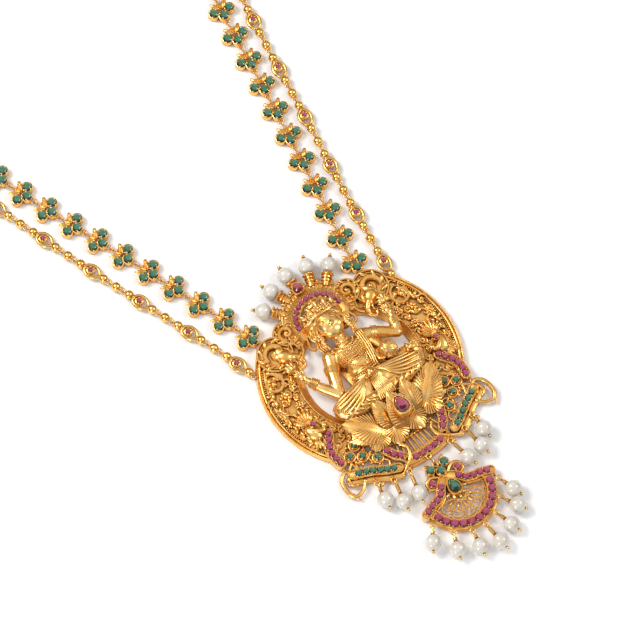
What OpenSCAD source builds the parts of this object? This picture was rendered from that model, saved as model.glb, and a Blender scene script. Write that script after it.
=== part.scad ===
/* [Pendant ring] */

// Outer radius of the pendant's round frame, mm; the pendant's tables are in hundredths of it
ring_radius = 28.2; // [25:0.1:32]
// Radius of the open middle behind the figure, mm
opening_radius = 15.5; // [14:0.1:16.5]
// Outer radius of the plain flange round the open middle, mm
flange_radius = 19; // [18:0.1:20.5]
// Width of the plain double rim wire, mm
rim_width = 1.2; // [0.8:0.1:2]
// Thickness of the plain flange, mm
flange_thickness = 0.9; // [0.6:0.1:1.4]
// Thickness of the band under the relief, mm
band_thickness = 1.4; // [1:0.1:2]
// Height of the rim wire, mm
rim_height = 1.8; // [1.4:0.1:2.6]
// Radius of the scroll wires on the band, mm
scroll_wire_radius = 0.55; // [0.4:0.05:0.7]

/* [Halo] */

// Outer radius of the arch behind the head, mm
halo_radius = 10.6; // [9.5:0.1:12]
// Radius of the arch's opening round the crown, mm
halo_opening_radius = 5.4; // [4.8:0.1:5.8]
// Height of the arch above the resting plane, mm
halo_height = 3; // [2.4:0.1:4]
// Radius of the row of rubies on the arch, mm
halo_row_radius = 6.8; // [6.4:0.1:7.6]
// Number of rubies on the arch
halo_ruby_count = 13; // [9:1:13]

/* [Figure and lotus] */

// Height of the figure's relief, mm
figure_height = 9; // [7:0.1:12]
// Height of the lotus's middle petal, mm
lotus_height = 10; // [8:0.1:13]
// Diameter of the round jewel on the belt, mm
belt_jewel_diameter = 2.8; // [2:0.1:4]

// Clearance between castings that are seated on one another, mm
seat_clearance = 0.25; // [0.2:0.05:0.4]

/* [Stones] */

// Diameter of the rubies on the halo, mm
halo_ruby_diameter = 1.4; // [1:0.05:1.6]
// Diameter of the rubies in the pendant's bands, mm
band_ruby_diameter = 1.8; // [1.4:0.05:1.9]
// Diameter of the emeralds in the bars and florets, mm
bar_emerald_diameter = 1.7; // [1.4:0.05:1.8]
// Diameter of the peacocks' ruby eyes, mm
eye_ruby_diameter = 1.5; // [1:0.05:1.8]
// Length of the pear ruby over the halo, mm
halo_pear_length = 3; // [2.4:0.1:3.6]
// Length of the pear ruby on the lotus, mm
lotus_pear_length = 4.8; // [4:0.1:5.6]
// Length of the pear emerald in the drop, mm
drop_pear_length = 4.2; // [3.4:0.1:5]
// Thickness of a set stone above its seat, mm
stone_height = 0.6; // [0.4:0.05:1]
// Clearance between a stone and its seat, mm
stone_clearance = 0.1; // [0.1:0.05:0.2]

/* [Gallery and drop] */

// Height of the stone settings of the gallery and the drop, mm
setting_height = 2.4; // [2:0.1:3]
// Width of a band of round stones, mm
setting_width = 2.9; // [2.4:0.1:3.3]
// Sideways offset of the hanging drop from the pendant's middle, mm
drop_shift = -1.2; // [-2:0.1:2]
// Outer radius of the drop's lower band, mm
drop_radius = 10.8; // [10:0.1:11.6]
// Thickness of the drop's pierced plate, mm
drop_plate_thickness = 0.9; // [0.6:0.1:1.6]

/* [Pearls] */

// Diameter of the hanging pearls, mm
pearl_diameter = 4.6; // [4:0.1:4.7]
// Diameter of the pearls' drill hole, mm
pearl_hole_diameter = 0.7; // [0.6:0.05:1]
// Radius of the pins' wire, mm
pin_radius = 0.2; // [0.15:0.01:0.25]
// Diameter of the ball on a pin's end, mm
pin_ball_diameter = 1; // [0.8:0.1:1.3]
// Clearance between a pearl and the metal at its ends, mm
pearl_clearance = 0.15; // [0.1:0.05:0.3]
// Distance of the crown pearls from the halo's centre, mm
crown_pearl_distance = 15.8; // [15:0.1:17]

/* [Emerald chain] */

// Distance from one cluster's joint to the next, mm
cluster_pitch = 8.3; // [7.8:0.1:9]
// Number of clusters on each side
cluster_count = 24; // [12:1:26]
// Diameter of a cluster's emeralds, mm
cluster_emerald_diameter = 2.45; // [2:0.05:2.6]
// Diameter of a cluster's collets, mm
collet_diameter = 3.2; // [2.9:0.05:3.4]
// Height of a cluster's collets, mm
collet_height = 1.8; // [1.5:0.1:2.4]
// Thickness of a cluster's leaf spray, mm
leaf_thickness = 1; // [0.7:0.1:1.4]

/* [Bead chain] */

// Diameter of the gold beads, mm
bead_diameter = 2.6; // [2.3:0.05:2.8]
// Distance from one bead's middle to the next bead's, mm
bead_pitch = 4.2; // [4.1:0.05:4.6]
// Distance from an oval's middle to the bead next to it, mm
oval_reach = 3.8; // [3.7:0.05:4.2]
// Width of the ruby ovals, mm
oval_width = 3.9; // [3.4:0.1:4.4]
// Length of the ruby ovals, mm
oval_length = 5.2; // [5:0.1:5.6]
// Number of ovals on each side
oval_count = 13; // [6:1:14]

/* [Joining rings] */

// Radius of the eyes' middle line, mm
eye_radius = 0.7; // [0.65:0.01:0.8]
// Radius of the eyes' wire, mm
eye_wire_radius = 0.18; // [0.14:0.01:0.2]
// Height of the chains' joints above the resting plane, mm
joint_height = 1.3; // [1.2:0.05:1.6]

/* [Back chain and clasp] */

// Width of the plain back chain, mm
back_chain_width = 2.4; // [2:0.1:2.6]
// Thickness of the plates that join the strands, mm
end_plate_thickness = 1.4; // [1:0.1:2]
// Length of the clasp, mm
clasp_length = 14; // [10:0.5:20]
// Diameter of the clasp, mm
clasp_diameter = 4; // [3:0.1:5]
// Clearance between the back chain's ends and what holds them, mm
end_clearance = 0.3; // [0.2:0.05:0.5]

/* [Hidden] */

$fn = 24;
gold = [0.85, 0.6, 0.25];
ruby = [0.7, 0.1, 0.3];
emerald = [0.1, 0.45, 0.3];
pearl = [0.93, 0.9, 0.84];

// one hundredth of the ring's radius
u = ring_radius / 100;
// half the distance between the middles of two joined eyes
eye_step = 0.43;
pin_height = pearl_diameter / 2;
halo_middle = 61.5;

// chosen route points of the chains on the resting plane, mm: inner and outer strand, then the back
// chain from each end plate to the clasp
left_inner = [[-17.6, 21.1], [-20, 30], [-25, 46], [-31, 64], [-37, 81], [-43, 99], [-50, 124],
    [-55, 150], [-57, 176], [-57, 201], [-56, 226]];
right_inner = [[16.7, 21], [18, 30], [22, 47], [26, 66], [30.5, 88], [34, 107], [39, 132],
    [42, 156], [43, 180], [42, 204], [40, 228]];
left_outer = [[-24, 15], [-25.6, 21.5], [-30.8, 37], [-36, 52.5], [-41.2, 68], [-46, 84],
    [-50, 97], [-57, 124], [-61.5, 150], [-63.5, 176], [-63, 201], [-61, 226]];
right_outer = [[22.9, 14.3], [23.8, 20], [26.4, 35.5], [29.6, 51.5], [33, 67.5], [36, 83.5],
    [39.2, 99], [44.6, 124], [48, 148], [49.5, 172], [49.5, 198], [47, 226]];
left_back = [[-54, 226], [-44, 243], [-29, 256]];
right_back = [[38, 227], [28, 244], [14, 256]];
clasp_middle = [-7.5, 260];

// stones of the pendant: across, along, in hundredths of the ring's radius, right side
side_ruby_seats = [[66.5, -36], [70, -42], [74, -48], [76, -54.5], [76, -61], [75, -67.5]];
inner_ruby_seats = [[32.5, -84], [29.5, -90.5], [25, -96]];
bar_seats = [[68, -85.5], [61.5, -88.5], [55.5, -91.5], [49.5, -95.5], [44, -99], [38, -102]];
floret_seats = [[54, -60.5], [64, -67], [54, -74], [43, -83.5]];
centre_arc_step = 3.9;
centre_arc_radius = 106.5;
drop_curl_seats = [[10.5, -144.5], [15, -150], [21.5, -153], [28.5, -154.5], [35, -157]];
drop_cluster_seats = [[-8, -125], [8, -125], [0, -131]];
drop_scroll_seats = [[-15, -137], [15, -137]];
drop_arc_middle = -158;
drop_arc_radius = drop_radius - setting_width / 2 - 0.25;
drop_arc_count = 11;
drop_arc_ends = [196, 344];

// hanging pearls: across and along of the eye that carries each, then of its middle
gallery_pearls = [[-60.5, -106, -63.5, -122], [-45.5, -112.5, -50.5, -134], [-28.5, -115, -34, -136],
    [22, -114, 25.5, -135.5], [40.5, -112, 42.5, -134], [54.5, -105.5, 54.5, -122]];
drop_pearls = [[-45.5, -171, -54.5, -183.5], [-33.5, -188.5, -40, -203], [-17.5, -198, -21, -213.5],
    [-3.5, -201, -2.5, -221], [12, -197.5, 16, -214], [25.5, -188, 32.5, -202],
    [35.5, -171.5, 39.5, -186.5]];
crown_pearl_angles = [135, 112.5, 90, 67.5, 45];

// figure: limbs as two balls, each across, along, up, radius, in hundredths of the ring's radius
torso = [[0, -17.5, 13.5, 13, 0, 3.5, 12, 10.5], [0, 0, 12, 10.5, 0, 17.5, 13, 11],
    [-8.5, 15, 14, 9, 8.5, 15, 14, 9], [-17.5, 22.5, 11.5, 7, 18.5, 22.5, 11.5, 7],
    [0, 26.5, 14, 6, 0, 39, 16.5, 6.5]];
head = [[0, 44, 18.5, 8.5, 0, 54, 17.5, 11.5], [0, 61, 15, 11, 0, 71, 13.5, 8],
    [0, 71, 13, 7, 0, 77, 10, 2], [-11, 53, 11.5, 5.5, -12.5, 36, 10.5, 4.5],
    [11, 53, 11.5, 5.5, 12.5, 36, 10.5, 4.5]];
arms = [[-20, 21.5, 11.5, 6.5, -33.5, -10, 13, 5.5], [-33.5, -10, 13, 5, -50.5, 16.5, 13, 3.5],
    [-50.5, 16.5, 13, 3.5, -54.5, 28.5, 13, 4], [20.5, 21.5, 11.5, 6.5, 47.5, 5, 13, 5],
    [47.5, 5, 13, 4.5, 54, 20.5, 13, 3.5], [54, 20.5, 13, 3.5, 56.5, 30.5, 13, 4],
    [32.5, -16.5, 15, 5.5, 48, -15.5, 15, 5.5]];
pot = [[22, -3, 15, 3.5, 32.5, -1.5, 15, 4], [34, -1, 14.5, 6, 43.5, 1, 14, 7]];
legs = [[-10.5, -25, 15.5, 12, -41, -28.5, 13.5, 9.5], [10.5, -25, 15.5, 12, 44, -28.5, 13.5, 9.5],
    [-39, -35, 15.5, 8, 7, -39, 18.5, 8], [42, -35, 15.5, 8, -7, -39, 18.5, 8],
    [0, -21.5, 22, 5, 0, -40.5, 24.5, 5.5], [-16.5, -14, 17.5, 5.5, 16.5, -14, 17.5, 5.5]];

// lotus petals: across and along of the root, of the tip, width, rise of the tip as a share
petals = [
    [[0, -76, 0, -44.5, 30], 1], [[-14, -71, -19.5, -39, 28.5], 0.72], [[14, -71, 19.5, -39, 28.5], 0.72],
    [[-25, -65.5, -48, -37.5, 28.5], 0.62], [[25, -65.5, 49.5, -37.5, 28.5], 0.62],
    [[-28.5, -65.5, -53, -51, 17.5], 0.5], [[28.5, -65.5, 54, -51, 17.5], 0.5],
    [[0, -64, 0, -84.5, 17.5], 0.3], [[-15, -64, -17, -82.5, 17.5], 0.3], [[15, -64, 17, -82.5, 17.5], 0.3],
    [[-28.5, -62.5, -33.5, -77.5, 17], 0.3], [[28.5, -62.5, 34, -77.5, 17], 0.3]];

halo_pear_seat = [0, 98.5];
lotus_gem_seat = [0.5, -62.5];
drop_gem_seat = [0, -151];
peacock_eye_seat = [73.5, -22];
side_band_height = setting_height + 0.2;
peacock_height = setting_height + 2;
scallop_height = band_thickness + 1.6;
gallery_gap_radius = 22.6;
crown_band_radius = 21;
lotus_floor = band_thickness + 0.4;
lotus_gem_height = lotus_height;

// marks along each strand where its pieces are joined, and the joints there
oval_unit = 2 * (oval_reach + bead_pitch / 2);
cluster_marks = [for (i = [0:cluster_count]) i * cluster_pitch];
oval_marks = [for (i = [0:2 * oval_count - 1])
    ceil(i / 2) * oval_unit + floor(i / 2) * bead_pitch];
left_inner_joints = joints(routed(left_inner), cluster_marks);
right_inner_joints = joints(routed(right_inner), cluster_marks);
left_outer_joints = joints(routed(left_outer), oval_marks);
right_outer_joints = joints(routed(right_outer), oval_marks);
left_end = end_frame(left_inner_joints, left_outer_joints);
right_end = end_frame(right_inner_joints, right_outer_joints);
clasp_turn = 8;
clasp_left_end = clasp_middle - polar(clasp_length / 2 + end_clearance, clasp_turn);
clasp_right_end = clasp_middle + polar(clasp_length / 2 + end_clearance, clasp_turn);
// joints of the drop's bail under the ring's middle, and angles of the drop's pierced cells
bail_joint = [113.5, 121];
drop_cells = [200:32:340];
// stems of the gallery's florets: across and along, in hundredths of the ring's radius
floret_stems = [[[74, -78], [66, -72], [58, -63]], [[62, -86], [64, -76], [66, -66]],
    [[54, -90], [46, -90], [42, -80], [54, -73]], [[40, -98], [36, -92], [42, -84]]];

// numbers and paths

function unit(v) = v / max(norm(v), 0.0001);
function turn(p, a) = [p[0] * cos(a) - p[1] * sin(a), p[0] * sin(a) + p[1] * cos(a)];
function polar(r, a) = [r * cos(a), r * sin(a)];
function flat(p, z) = [p[0], p[1], z];
function blend(p0, p1, p2, p3, t) = 0.5 * (2 * p1 + (p2 - p0) * t
    + (2 * p0 - 5 * p1 + 4 * p2 - p3) * t * t + (3 * p1 - p0 - 3 * p2 + p3) * t * t * t);
function smooth(p, n) = concat([for (i = [0:len(p) - 2]) for (k = [0:n - 1])
    blend(p[max(i - 1, 0)], p[i], p[i + 1], p[min(i + 2, len(p) - 1)], k / n)], [p[len(p) - 1]]);
function lengths(p) = [for (i = 0, s = 0; i < len(p);
    s = s + (i + 1 < len(p) ? norm(p[i + 1] - p[i]) : 0), i = i + 1) s];
function span(l, s, i = 0) = i >= len(l) - 2 || l[i + 1] >= s ? i : span(l, s, i + 1);
function on_route(p, l, s) = let(i = span(l, s)) p[i] + (p[i + 1] - p[i]) * (s - l[i]) / (l[i + 1] - l[i]);
function bearing(a, b) = atan2(b[1] - a[1], b[0] - a[0]);
function tangent(p, i) = unit(p[min(i + 1, len(p) - 1)] - p[max(i - 1, 0)]);
function tube_ring(p, i, r, n) = let(t = tangent(p, i), s = unit(cross([0, 0, 1], t)), w = cross(t, s))
    [for (k = [0:n - 1]) p[i] + (s * cos((k + 0.5) * 360 / n) + w * sin((k + 0.5) * 360 / n))
        * (is_list(r) ? r[i] : r)];
function spiral(c, r, start, sweep, n) =
    [for (i = [0:n]) c + polar(r * (1 - 0.72 * i / n), start + sweep * i / n)];
function arc(c, r, a, b, n) = [for (i = [0:n]) c + polar(r, a + (b - a) * i / n)];
function leaf_outline(l, w, n = 6) = [for (i = [0:2 * n - 1]) let(t = (i < n ? i : 2 * n - i) / n)
    [l * t, (i < n ? -1 : 1) * w / 2 * sin(180 * pow(t, 0.8))]];
function drop_outline(l, w, n = 12) = [for (i = [0:n - 1]) let(a = 360 * i / n)
    [w / 2 * sin(a) * (1 - 0.28 * cos(a)), l / 2 * cos(a)]];
function routed(route) = let(p = smooth(route, 8)) [p, lengths(p)];
function joints(r, marks) = [for (s = marks) on_route(r[0], r[1], s)];

// shared shapes

module bar(a, ra, b, rb, n = 5) hull() {
    translate(a) sphere(r = ra, $fn = n);
    translate(b) sphere(r = rb, $fn = n);
}
module limbs(table, grow = 0, n = 7) for (q = table)
    bar([q[0], q[1], q[2]] * u, q[3] * u + grow, [q[4], q[5], q[6]] * u, q[7] * u + grow, n);
module tube(p, r, n = 5) polyhedron(
    points = [for (i = [0:len(p) - 1]) each tube_ring(p, i, r, n)],
    faces = concat([[for (k = [0:n - 1]) k]],
        [for (i = [0:len(p) - 2]) for (k = [0:n - 1]) let(j = (k + 1) % n)
            [i * n + k, (i + 1) * n + k, (i + 1) * n + j, i * n + j]],
        [[for (k = [n - 1:-1:0]) (len(p) - 1) * n + k]]), convexity = 6);
module wire(p, z, r, n = 5) tube([for (q = p) flat(q, z)], r, n);
module strip(p, w, h) linear_extrude(h) polygon(concat(
    [for (i = [0:len(p) - 1]) let(t = tangent(p, i)) p[i] + [-t[1], t[0]] * w / 2],
    [for (i = [len(p) - 1:-1:0]) let(t = tangent(p, i)) p[i] - [-t[1], t[0]] * w / 2]));
module sides() { children(); mirror([1, 0, 0]) children(); }
module cut_stone(d, h) cylinder(d1 = d, d2 = 0.6 * d, h = h, $fn = 8);
module stones(seats, d, z) for (p = seats)
    translate([p[0], p[1], z + stone_clearance]) cut_stone(d, stone_height);
module pear_stone(l, w, h) linear_extrude(h, scale = 0.6) polygon(drop_outline(l, w));
module pear_seat(l, w, h) linear_extrude(h) polygon(drop_outline(l, w, 16));
module eye(flat_lying, n = 24) rotate([flat_lying ? 0 : 90, 0, 0])
    linear_extrude(2 * eye_wire_radius, center = true) difference() {
        circle(r = eye_radius + eye_wire_radius, $fn = n);
        circle(r = eye_radius - eye_wire_radius, $fn = n);
    }
module on(p, z, a = 0) translate([p[0], p[1], z]) rotate([0, 0, a]) children();

// the pendant ring with its halo

module ring_body() rotate_extrude($fn = 36) polygon([[opening_radius, 0],
    [opening_radius, flange_thickness], [flange_radius, flange_thickness],
    [flange_radius + 0.3, band_thickness], [ring_radius - rim_width, band_thickness],
    [ring_radius - rim_width, rim_height], [ring_radius, rim_height], [ring_radius, 0]]);

module volute(c, r, start, sweep) {
    wire(spiral(c, r, start, sweep, 8), band_thickness + 0.15, scroll_wire_radius, 4);
    on(c, band_thickness + 0.1) sphere(r = 0.25 * r + 0.75, $fn = 6);
}
module feather(p, a, l, w) on(p, band_thickness, a)
    bar([0, 0, 0.3], w * 0.6, [l, 0, 0.1], w * 0.3, 4);
module rosette(p, r) on(p, band_thickness - 0.45) linear_extrude(1.35)
    polygon([for (k = [0:7]) polar(r * (k % 2 == 0 ? 1 : 0.6), 45 * k)]);

module sector_cut(from, to, inner) difference() {
    translate([0, 0, -1]) linear_extrude(10) polygon(concat([[0, 0]],
        [for (k = [0:8]) polar(1.2 * ring_radius, from + (to - from) * k / 8)]));
    translate([0, 0, -2]) cylinder(r = inner, h = 20, $fn = 36);
}

module side_relief() {
    volute([77, 35] * u, 11.5 * u, 100, 400);
    translate([0, 0, scallop_height - band_thickness]) {
        volute([52, 64] * u, 8 * u, 210, 360);
        volute([36, 68] * u, 7 * u, -30, -360);
    }
    // elephant's head and trunk
    bar([50, 49, 11] * u, 10.5 * u, [56, 55, 9] * u, 9 * u);
    wire([[45, 44], [41, 38], [43, 32], [48, 31]] * u, band_thickness + 1.2, [1, 0.8, 0.65, 0.5]);
    rosette([76, 17] * u, 6.5 * u);
    rosette([69, 4] * u, 5 * u);
    rosette([88, 3] * u, 5 * u);
    rosette([64, 27] * u, 5 * u);
    for (k = [0:3]) feather(polar(91 * u, -6 - 6 * k), 158 - 6 * k, 9 * u, 1);
    for (k = [0:2]) feather(polar(70 * u, 24 + 9 * k), 60 + 9 * k, 7 * u, 0.9);
    // peacock: body, neck, head and fan
    bar([75, -20, 8] * u, 8 * u, [79, -33, 6] * u, 5 * u);
    bar([74, -19, 9] * u, 6 * u, [69, -30, 9] * u, 3 * u, 6);
    on([73.5, -22] * u, 0) cylinder(d = eye_ruby_diameter + 1, h = peacock_height, $fn = 8);
    on([76, -16] * u, band_thickness - 0.35, 90) linear_extrude(1.15) polygon(concat([[-2, 0] * u],
        [for (k = [0:8]) polar((k % 2 == 0 ? 18 : 15.5) * u, 10.5 * (k - 4))]));
    strip(side_ruby_seats * u, setting_width, side_band_height);
    bar([83, -36, 4] * u, 2.4 * u, [80, -44, 4] * u, 1.5 * u, 6);
}

module chain_room(j, width, top) on(j[0], -1, bearing(j[0], j[1]))
    translate([-eye_step - eye_radius - 0.1, -width / 2, 0]) cube([6, width, top]);

module chain_eye(j, toward) let(a = bearing(j, toward)) on(j - turn([eye_step, 0], a), joint_height, a) {
    eye(false, 6);
    bar([-eye_radius, 0, 0], 0.45, [-eye_radius - 1.6, 0, -0.6], 0.6, 6);
}

module halo_plate() on([0, halo_middle * u], 0) {
    cylinder(r = halo_radius, h = halo_height, $fn = 24);
}

module crown_collars() on([0, halo_middle * u], pin_height) for (a = crown_pearl_angles)
    rotate([0, 0, a]) rotate([0, 90, 0]) {
        reach = crown_pearl_distance - pearl_diameter / 2 - pearl_clearance;
        translate([0, 0, halo_radius - 1.2]) cylinder(r = 1.05, h = reach - halo_radius + 1.2, $fn = 6);
        translate([0, 0, reach - 0.5]) cylinder(r = 1.4, h = 0.5, $fn = 8);
        translate([0, 0, reach - 1])
            cylinder(r = pin_radius, h = pearl_diameter + 2 * pearl_clearance + 1.2, $fn = 5);
        translate([0, 0, reach + pearl_diameter + 2 * pearl_clearance + pin_ball_diameter / 2])
            sphere(d = pin_ball_diameter, $fn = 5);
    }

module ring_frame() color(gold) {
    difference() {
        union() {
            difference() {
                ring_body();
                // the scallops and the halo close the ring's top
                sector_cut(46, 134, crown_band_radius);
            }
            sides() {
                on([36.5, 69] * u, 0) cylinder(r = 13 * u, h = scallop_height - 0.12, $fn = 12);
                on([57.5, 58.5] * u, 0) cylinder(r = 18 * u, h = scallop_height - 0.05, $fn = 17);
            }
            halo_plate();
            sides() side_relief();
            on(halo_pear_seat * u, 0) pear_seat(halo_pear_length + 1.6, halo_pear_length + 1.2, halo_height + 0.8);
            crown_collars();
        }
        // open middle, slots beside the crown and the room for the gallery
        translate([0, 0, -1]) cylinder(r = opening_radius, h = band_thickness + 1.6, $fn = 36);
        on([0, halo_middle * u], -1) cylinder(r = halo_opening_radius, h = 20, $fn = 20);
        sector_cut(-137, -43, gallery_gap_radius);
        // the arch is open below, round the head and shoulders
        on([-21.5, 16] * u, -1) cube([43, 35.5, 100] * u);
        // recesses under the scallops and notches in the rim for the chains' first joints
        for (j = [left_inner_joints, right_inner_joints]) chain_room(j, 4.2, 3.3);
        for (j = [left_outer_joints, right_outer_joints]) chain_room(j, bead_diameter + 0.5, 12);
    }
    chain_eye(left_inner_joints[0], left_inner_joints[1]);
    chain_eye(right_inner_joints[0], right_inner_joints[1]);
    chain_eye(left_outer_joints[0], left_outer_joints[1]);
    chain_eye(right_outer_joints[0], right_outer_joints[1]);
}

// figure and lotus

module goddess_figure() color(gold) intersection() {
    translate([0, 0, 2 * ring_radius]) cube(4 * ring_radius, center = true);
    union() {
        limbs(torso);
        limbs(head);
        limbs(arms);
        limbs(pot);
        limbs(legs);
        // flat back that lies on the resting plane in the ring's open middle
        linear_extrude(2 * u) polygon([[-15, -38], [15, -38], [19, 15], [-19, 15]] * u);
        // belt jewel, ear ornaments and necklace
        on([0, -16] * u, 12 * u) cylinder(d = belt_jewel_diameter, h = figure_height - 12 * u, $fn = 12);
        sides() on([12.5, 41] * u, 14 * u) sphere(r = 3.2 * u, $fn = 8);
        wire(arc([0, 27] * u, 11 * u, 200, 340, 6), 21 * u, 1.6 * u);
    }
}

module petal(q, rise) let(a = [q[0], q[1]] * u, b = [q[2], q[3]] * u, z = lotus_height * rise) hull() {
    translate(flat(a, lotus_floor + 0.6)) sphere(r = 3 * u, $fn = 4);
    translate(flat((a + 2 * b) / 3, z - 1.5)) scale([1, 1, 0.3]) sphere(r = q[4] * u / 2, $fn = 8);
    translate(flat(b, z - 0.7)) sphere(r = 1.6 * u, $fn = 5);
}

// room that the lotus leaves for the stone settings beside and under it
module gallery_room() sides() {
    for (p = floret_seats) on(p * u, 0) cylinder(d = bar_emerald_diameter + 1 + 2 * seat_clearance,
        h = setting_height + stone_height + 2 * seat_clearance, $fn = 8);
    strip(concat([[36.5, -76]], inner_ruby_seats) * u, setting_width + 2 * seat_clearance,
        setting_height + stone_height + seat_clearance);
}

module lotus_base() color(gold) difference() {
    lotus_form();
    limbs(legs, seat_clearance);
    gallery_room();
}

module lotus_form() intersection() {
    translate([0, 0, lotus_floor + 2 * ring_radius]) cube(4 * ring_radius, center = true);
    union() {
        hull() for (x = [-42, 42]) {
            on([x, -58] * u, lotus_floor) cylinder(r = 14 * u, h = 1.2, $fn = 12);
            on([x * 0.7, -58] * u, lotus_floor) cylinder(r = 8 * u, h = lotus_height * 0.34, $fn = 12);
        }
        for (q = petals) petal(q[0], q[1]);
        on(lotus_gem_seat * u, lotus_height * 0.6)
            pear_seat(lotus_pear_length + 1.2, 0.72 * lotus_pear_length + 1.2, lotus_height * 0.4);
    }
}

// lower gallery, drop and pearls

module gallery_side() {
    strip(concat([[35.5, -78]], inner_ruby_seats) * u, setting_width, setting_height);
    strip(concat([[71, -83]], bar_seats, [[34, -104]]) * u, setting_width, setting_height);
    for (p = floret_seats) on(p * u, 0.05)
        cylinder(d = bar_emerald_diameter + 1, h = setting_height - 0.05, $fn = 8);
    // web and stems that carry the florets
    for (k = [0:3]) translate([0, 0, 0.15 + 0.03 * k]) strip(floret_stems[k] * u, 1.3, 1.5);
    // plain wire that sweeps along the foot and curls up over the bar
    tube(smooth([for (q = [[48, -109, 2], [38, -112, 2], [27, -108, 4], [18, -101, 7], [16, -92, 9],
        [22, -87, 9]]) q * u], 2), 1.9 * u, 4);
    // outer and inner curls
    wire(smooth([[70, -84], [77, -77], [85, -82], [87, -94], [83, -102], [74, -101], [67, -96]] * u, 2),
        1.3, 2.1 * u, 4);
    wire(smooth([[72, -88], [78, -84], [76, -92]] * u, 2), 1.3, 1.7 * u, 4);
    on([67, -94] * u, 1.4) sphere(r = 3 * u, $fn = 8);
    bar([83, -101, 5] * u, 2.4 * u, [81, -106, 5] * u, u, 6);
}

module lower_gallery() color(gold) {
    difference() {
        union() {
            sides() gallery_side();
            // centre band, radial bars and the wires over and under them
            strip(arc([0, 0], centre_arc_radius * u, -90 - 3 * centre_arc_step, -90 + 3 * centre_arc_step, 10),
                setting_width, setting_height);
            for (k = [-5:5]) hull() for (r = [84, 101])
                on(polar(r * u, -90 + 4 * k), 0.2) cylinder(r = 1.5 * u, h = 1.3, $fn = 4);
            translate([0, 0, 0.1]) strip(arc([0, 0], 84 * u, -119, -61, 12), 1.1, 1.5);
            translate([0, 0, 0.12]) strip(arc([0, 0], 100 * u, -118, -62, 12), 1.1, 1.52);
        }
        cylinder(r = gallery_gap_radius + stone_clearance, h = 10, center = true, $fn = 40);
    }
    gallery_pearl_eyes(gallery_pearls);
    // eye that carries the drop
    translate([drop_shift, -bail_joint[0] * u + eye_step, pin_height]) rotate([0, 0, 90]) eye(true, 6);
    translate([drop_shift, 0, 0]) bar([0, -bail_joint[0] * u + eye_step + eye_radius, pin_height], 0.4,
        [0, -bail_joint[0] * u + eye_step + eye_radius + 1.4, 1.4], 0.6, 6);
}

module drop_bail() color(gold) translate([drop_shift, 0, pin_height]) {
    // link with an eye at each end, square to the eyes that it joins
    for (y = [-bail_joint[0] * u - eye_step, -bail_joint[1] * u + eye_step])
        translate([0, y, 0]) rotate([0, 90, 0]) eye(true);
    translate([0, -bail_joint[1] * u + eye_step + eye_radius - 0.1, 0]) rotate([-90, 0, 0])
        cylinder(r = 0.35, h = (bail_joint[1] - bail_joint[0]) * u - 2 * eye_step - 2 * eye_radius + 0.2);
}

module drop_half() {
    strip(concat([[4, -139]], drop_curl_seats, [[38, -158]]) * u, setting_width, setting_height);
    on(drop_scroll_seats[1] * u, 0) cylinder(d = band_ruby_diameter + 1.4, h = setting_height, $fn = 8);
    wire(smooth([[4, -136], [12, -131], [18, -133], [19, -140], [13, -142]] * u, 2), 1.2, 1.7 * u, 4);
    for (p = [drop_cluster_seats[0]]) on(p * u, 0) cylinder(d = bar_emerald_diameter + 1.6,
        h = setting_height, $fn = 8);
}

module drop_frame() color(gold) {
    translate([drop_shift, 0, 0]) {
        sides() drop_half();
        on(drop_cluster_seats[2] * u, 0) cylinder(d = bar_emerald_diameter + 1.6, h = setting_height, $fn = 8);
        strip([[0, -124], [0, -141]] * u, 2.2, 2);
        difference() {
            on([0, drop_arc_middle * u], 0) linear_extrude(drop_plate_thickness) polygon(concat(
                [for (a = [180:20:360]) polar(drop_radius - 0.8, a)], [[34, 3] * u, [0, 16] * u, [-34, 3] * u]));
            // pear-shaped cells pierced between the ribs
            for (a = drop_cells) on([0, drop_arc_middle * u] + polar(12.5 * u, a), -1, a - 90)
                linear_extrude(5) polygon(drop_outline(4.2, 2.6, 8));
        }
        for (a = drop_cells) hull() {
            on([0, drop_arc_middle * u] + polar(4 * u, a + 15), 0) cylinder(r = 0.35, h = 1.5, $fn = 4);
            on([0, drop_arc_middle * u] + polar(18 * u, a + 15), 0) cylinder(r = 0.35, h = 1.4, $fn = 4);
        }
        strip(arc([0, drop_arc_middle * u], drop_arc_radius, 188, 352, 12), setting_width, setting_height);
        // milled rim
        for (a = [198:24:342]) on([0, drop_arc_middle * u] + polar(drop_radius, a), 0.3)
            cylinder(r = 0.4, h = setting_height - 0.5, $fn = 4);
        on(drop_gem_seat * u, 0) pear_seat(drop_pear_length + 1.3, 0.72 * drop_pear_length + 1.3, setting_height + 0.4);
        translate([0, -bail_joint[1] * u - eye_step, pin_height]) rotate([0, 0, 90]) eye(true, 6);
        bar([0, -bail_joint[1] * u - eye_step - eye_radius, pin_height], 0.4,
            [0, -bail_joint[1] * u - eye_step - eye_radius - 1.2, 1.4], 0.6, 6);
    }
    gallery_pearl_eyes(drop_pearls);
}

module pin(q) let(a = bearing([q[0], q[1]], [q[2], q[3]]), l = norm([q[2] - q[0], q[3] - q[1]]) * u,
    start = eye_step + eye_radius, stop = l + pearl_diameter / 2 + pearl_clearance)
    on([q[0], q[1]] * u, pin_height, a) {
        translate([eye_step, 0, 0]) eye(false);
        translate([start, 0, 0]) rotate([0, 90, 0]) cylinder(r = pin_radius, h = stop - start + 0.3);
        // wrapped wire and cap above the pearl, ball below it
        translate([start + 0.15, 0, 0]) rotate([0, 90, 0]) cylinder(r = 2 * pin_radius,
            h = l - pearl_diameter / 2 - pearl_clearance - start - 0.15);
        translate([stop + pin_ball_diameter / 2 - 0.05, 0, 0]) sphere(d = pin_ball_diameter);
    }

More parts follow.
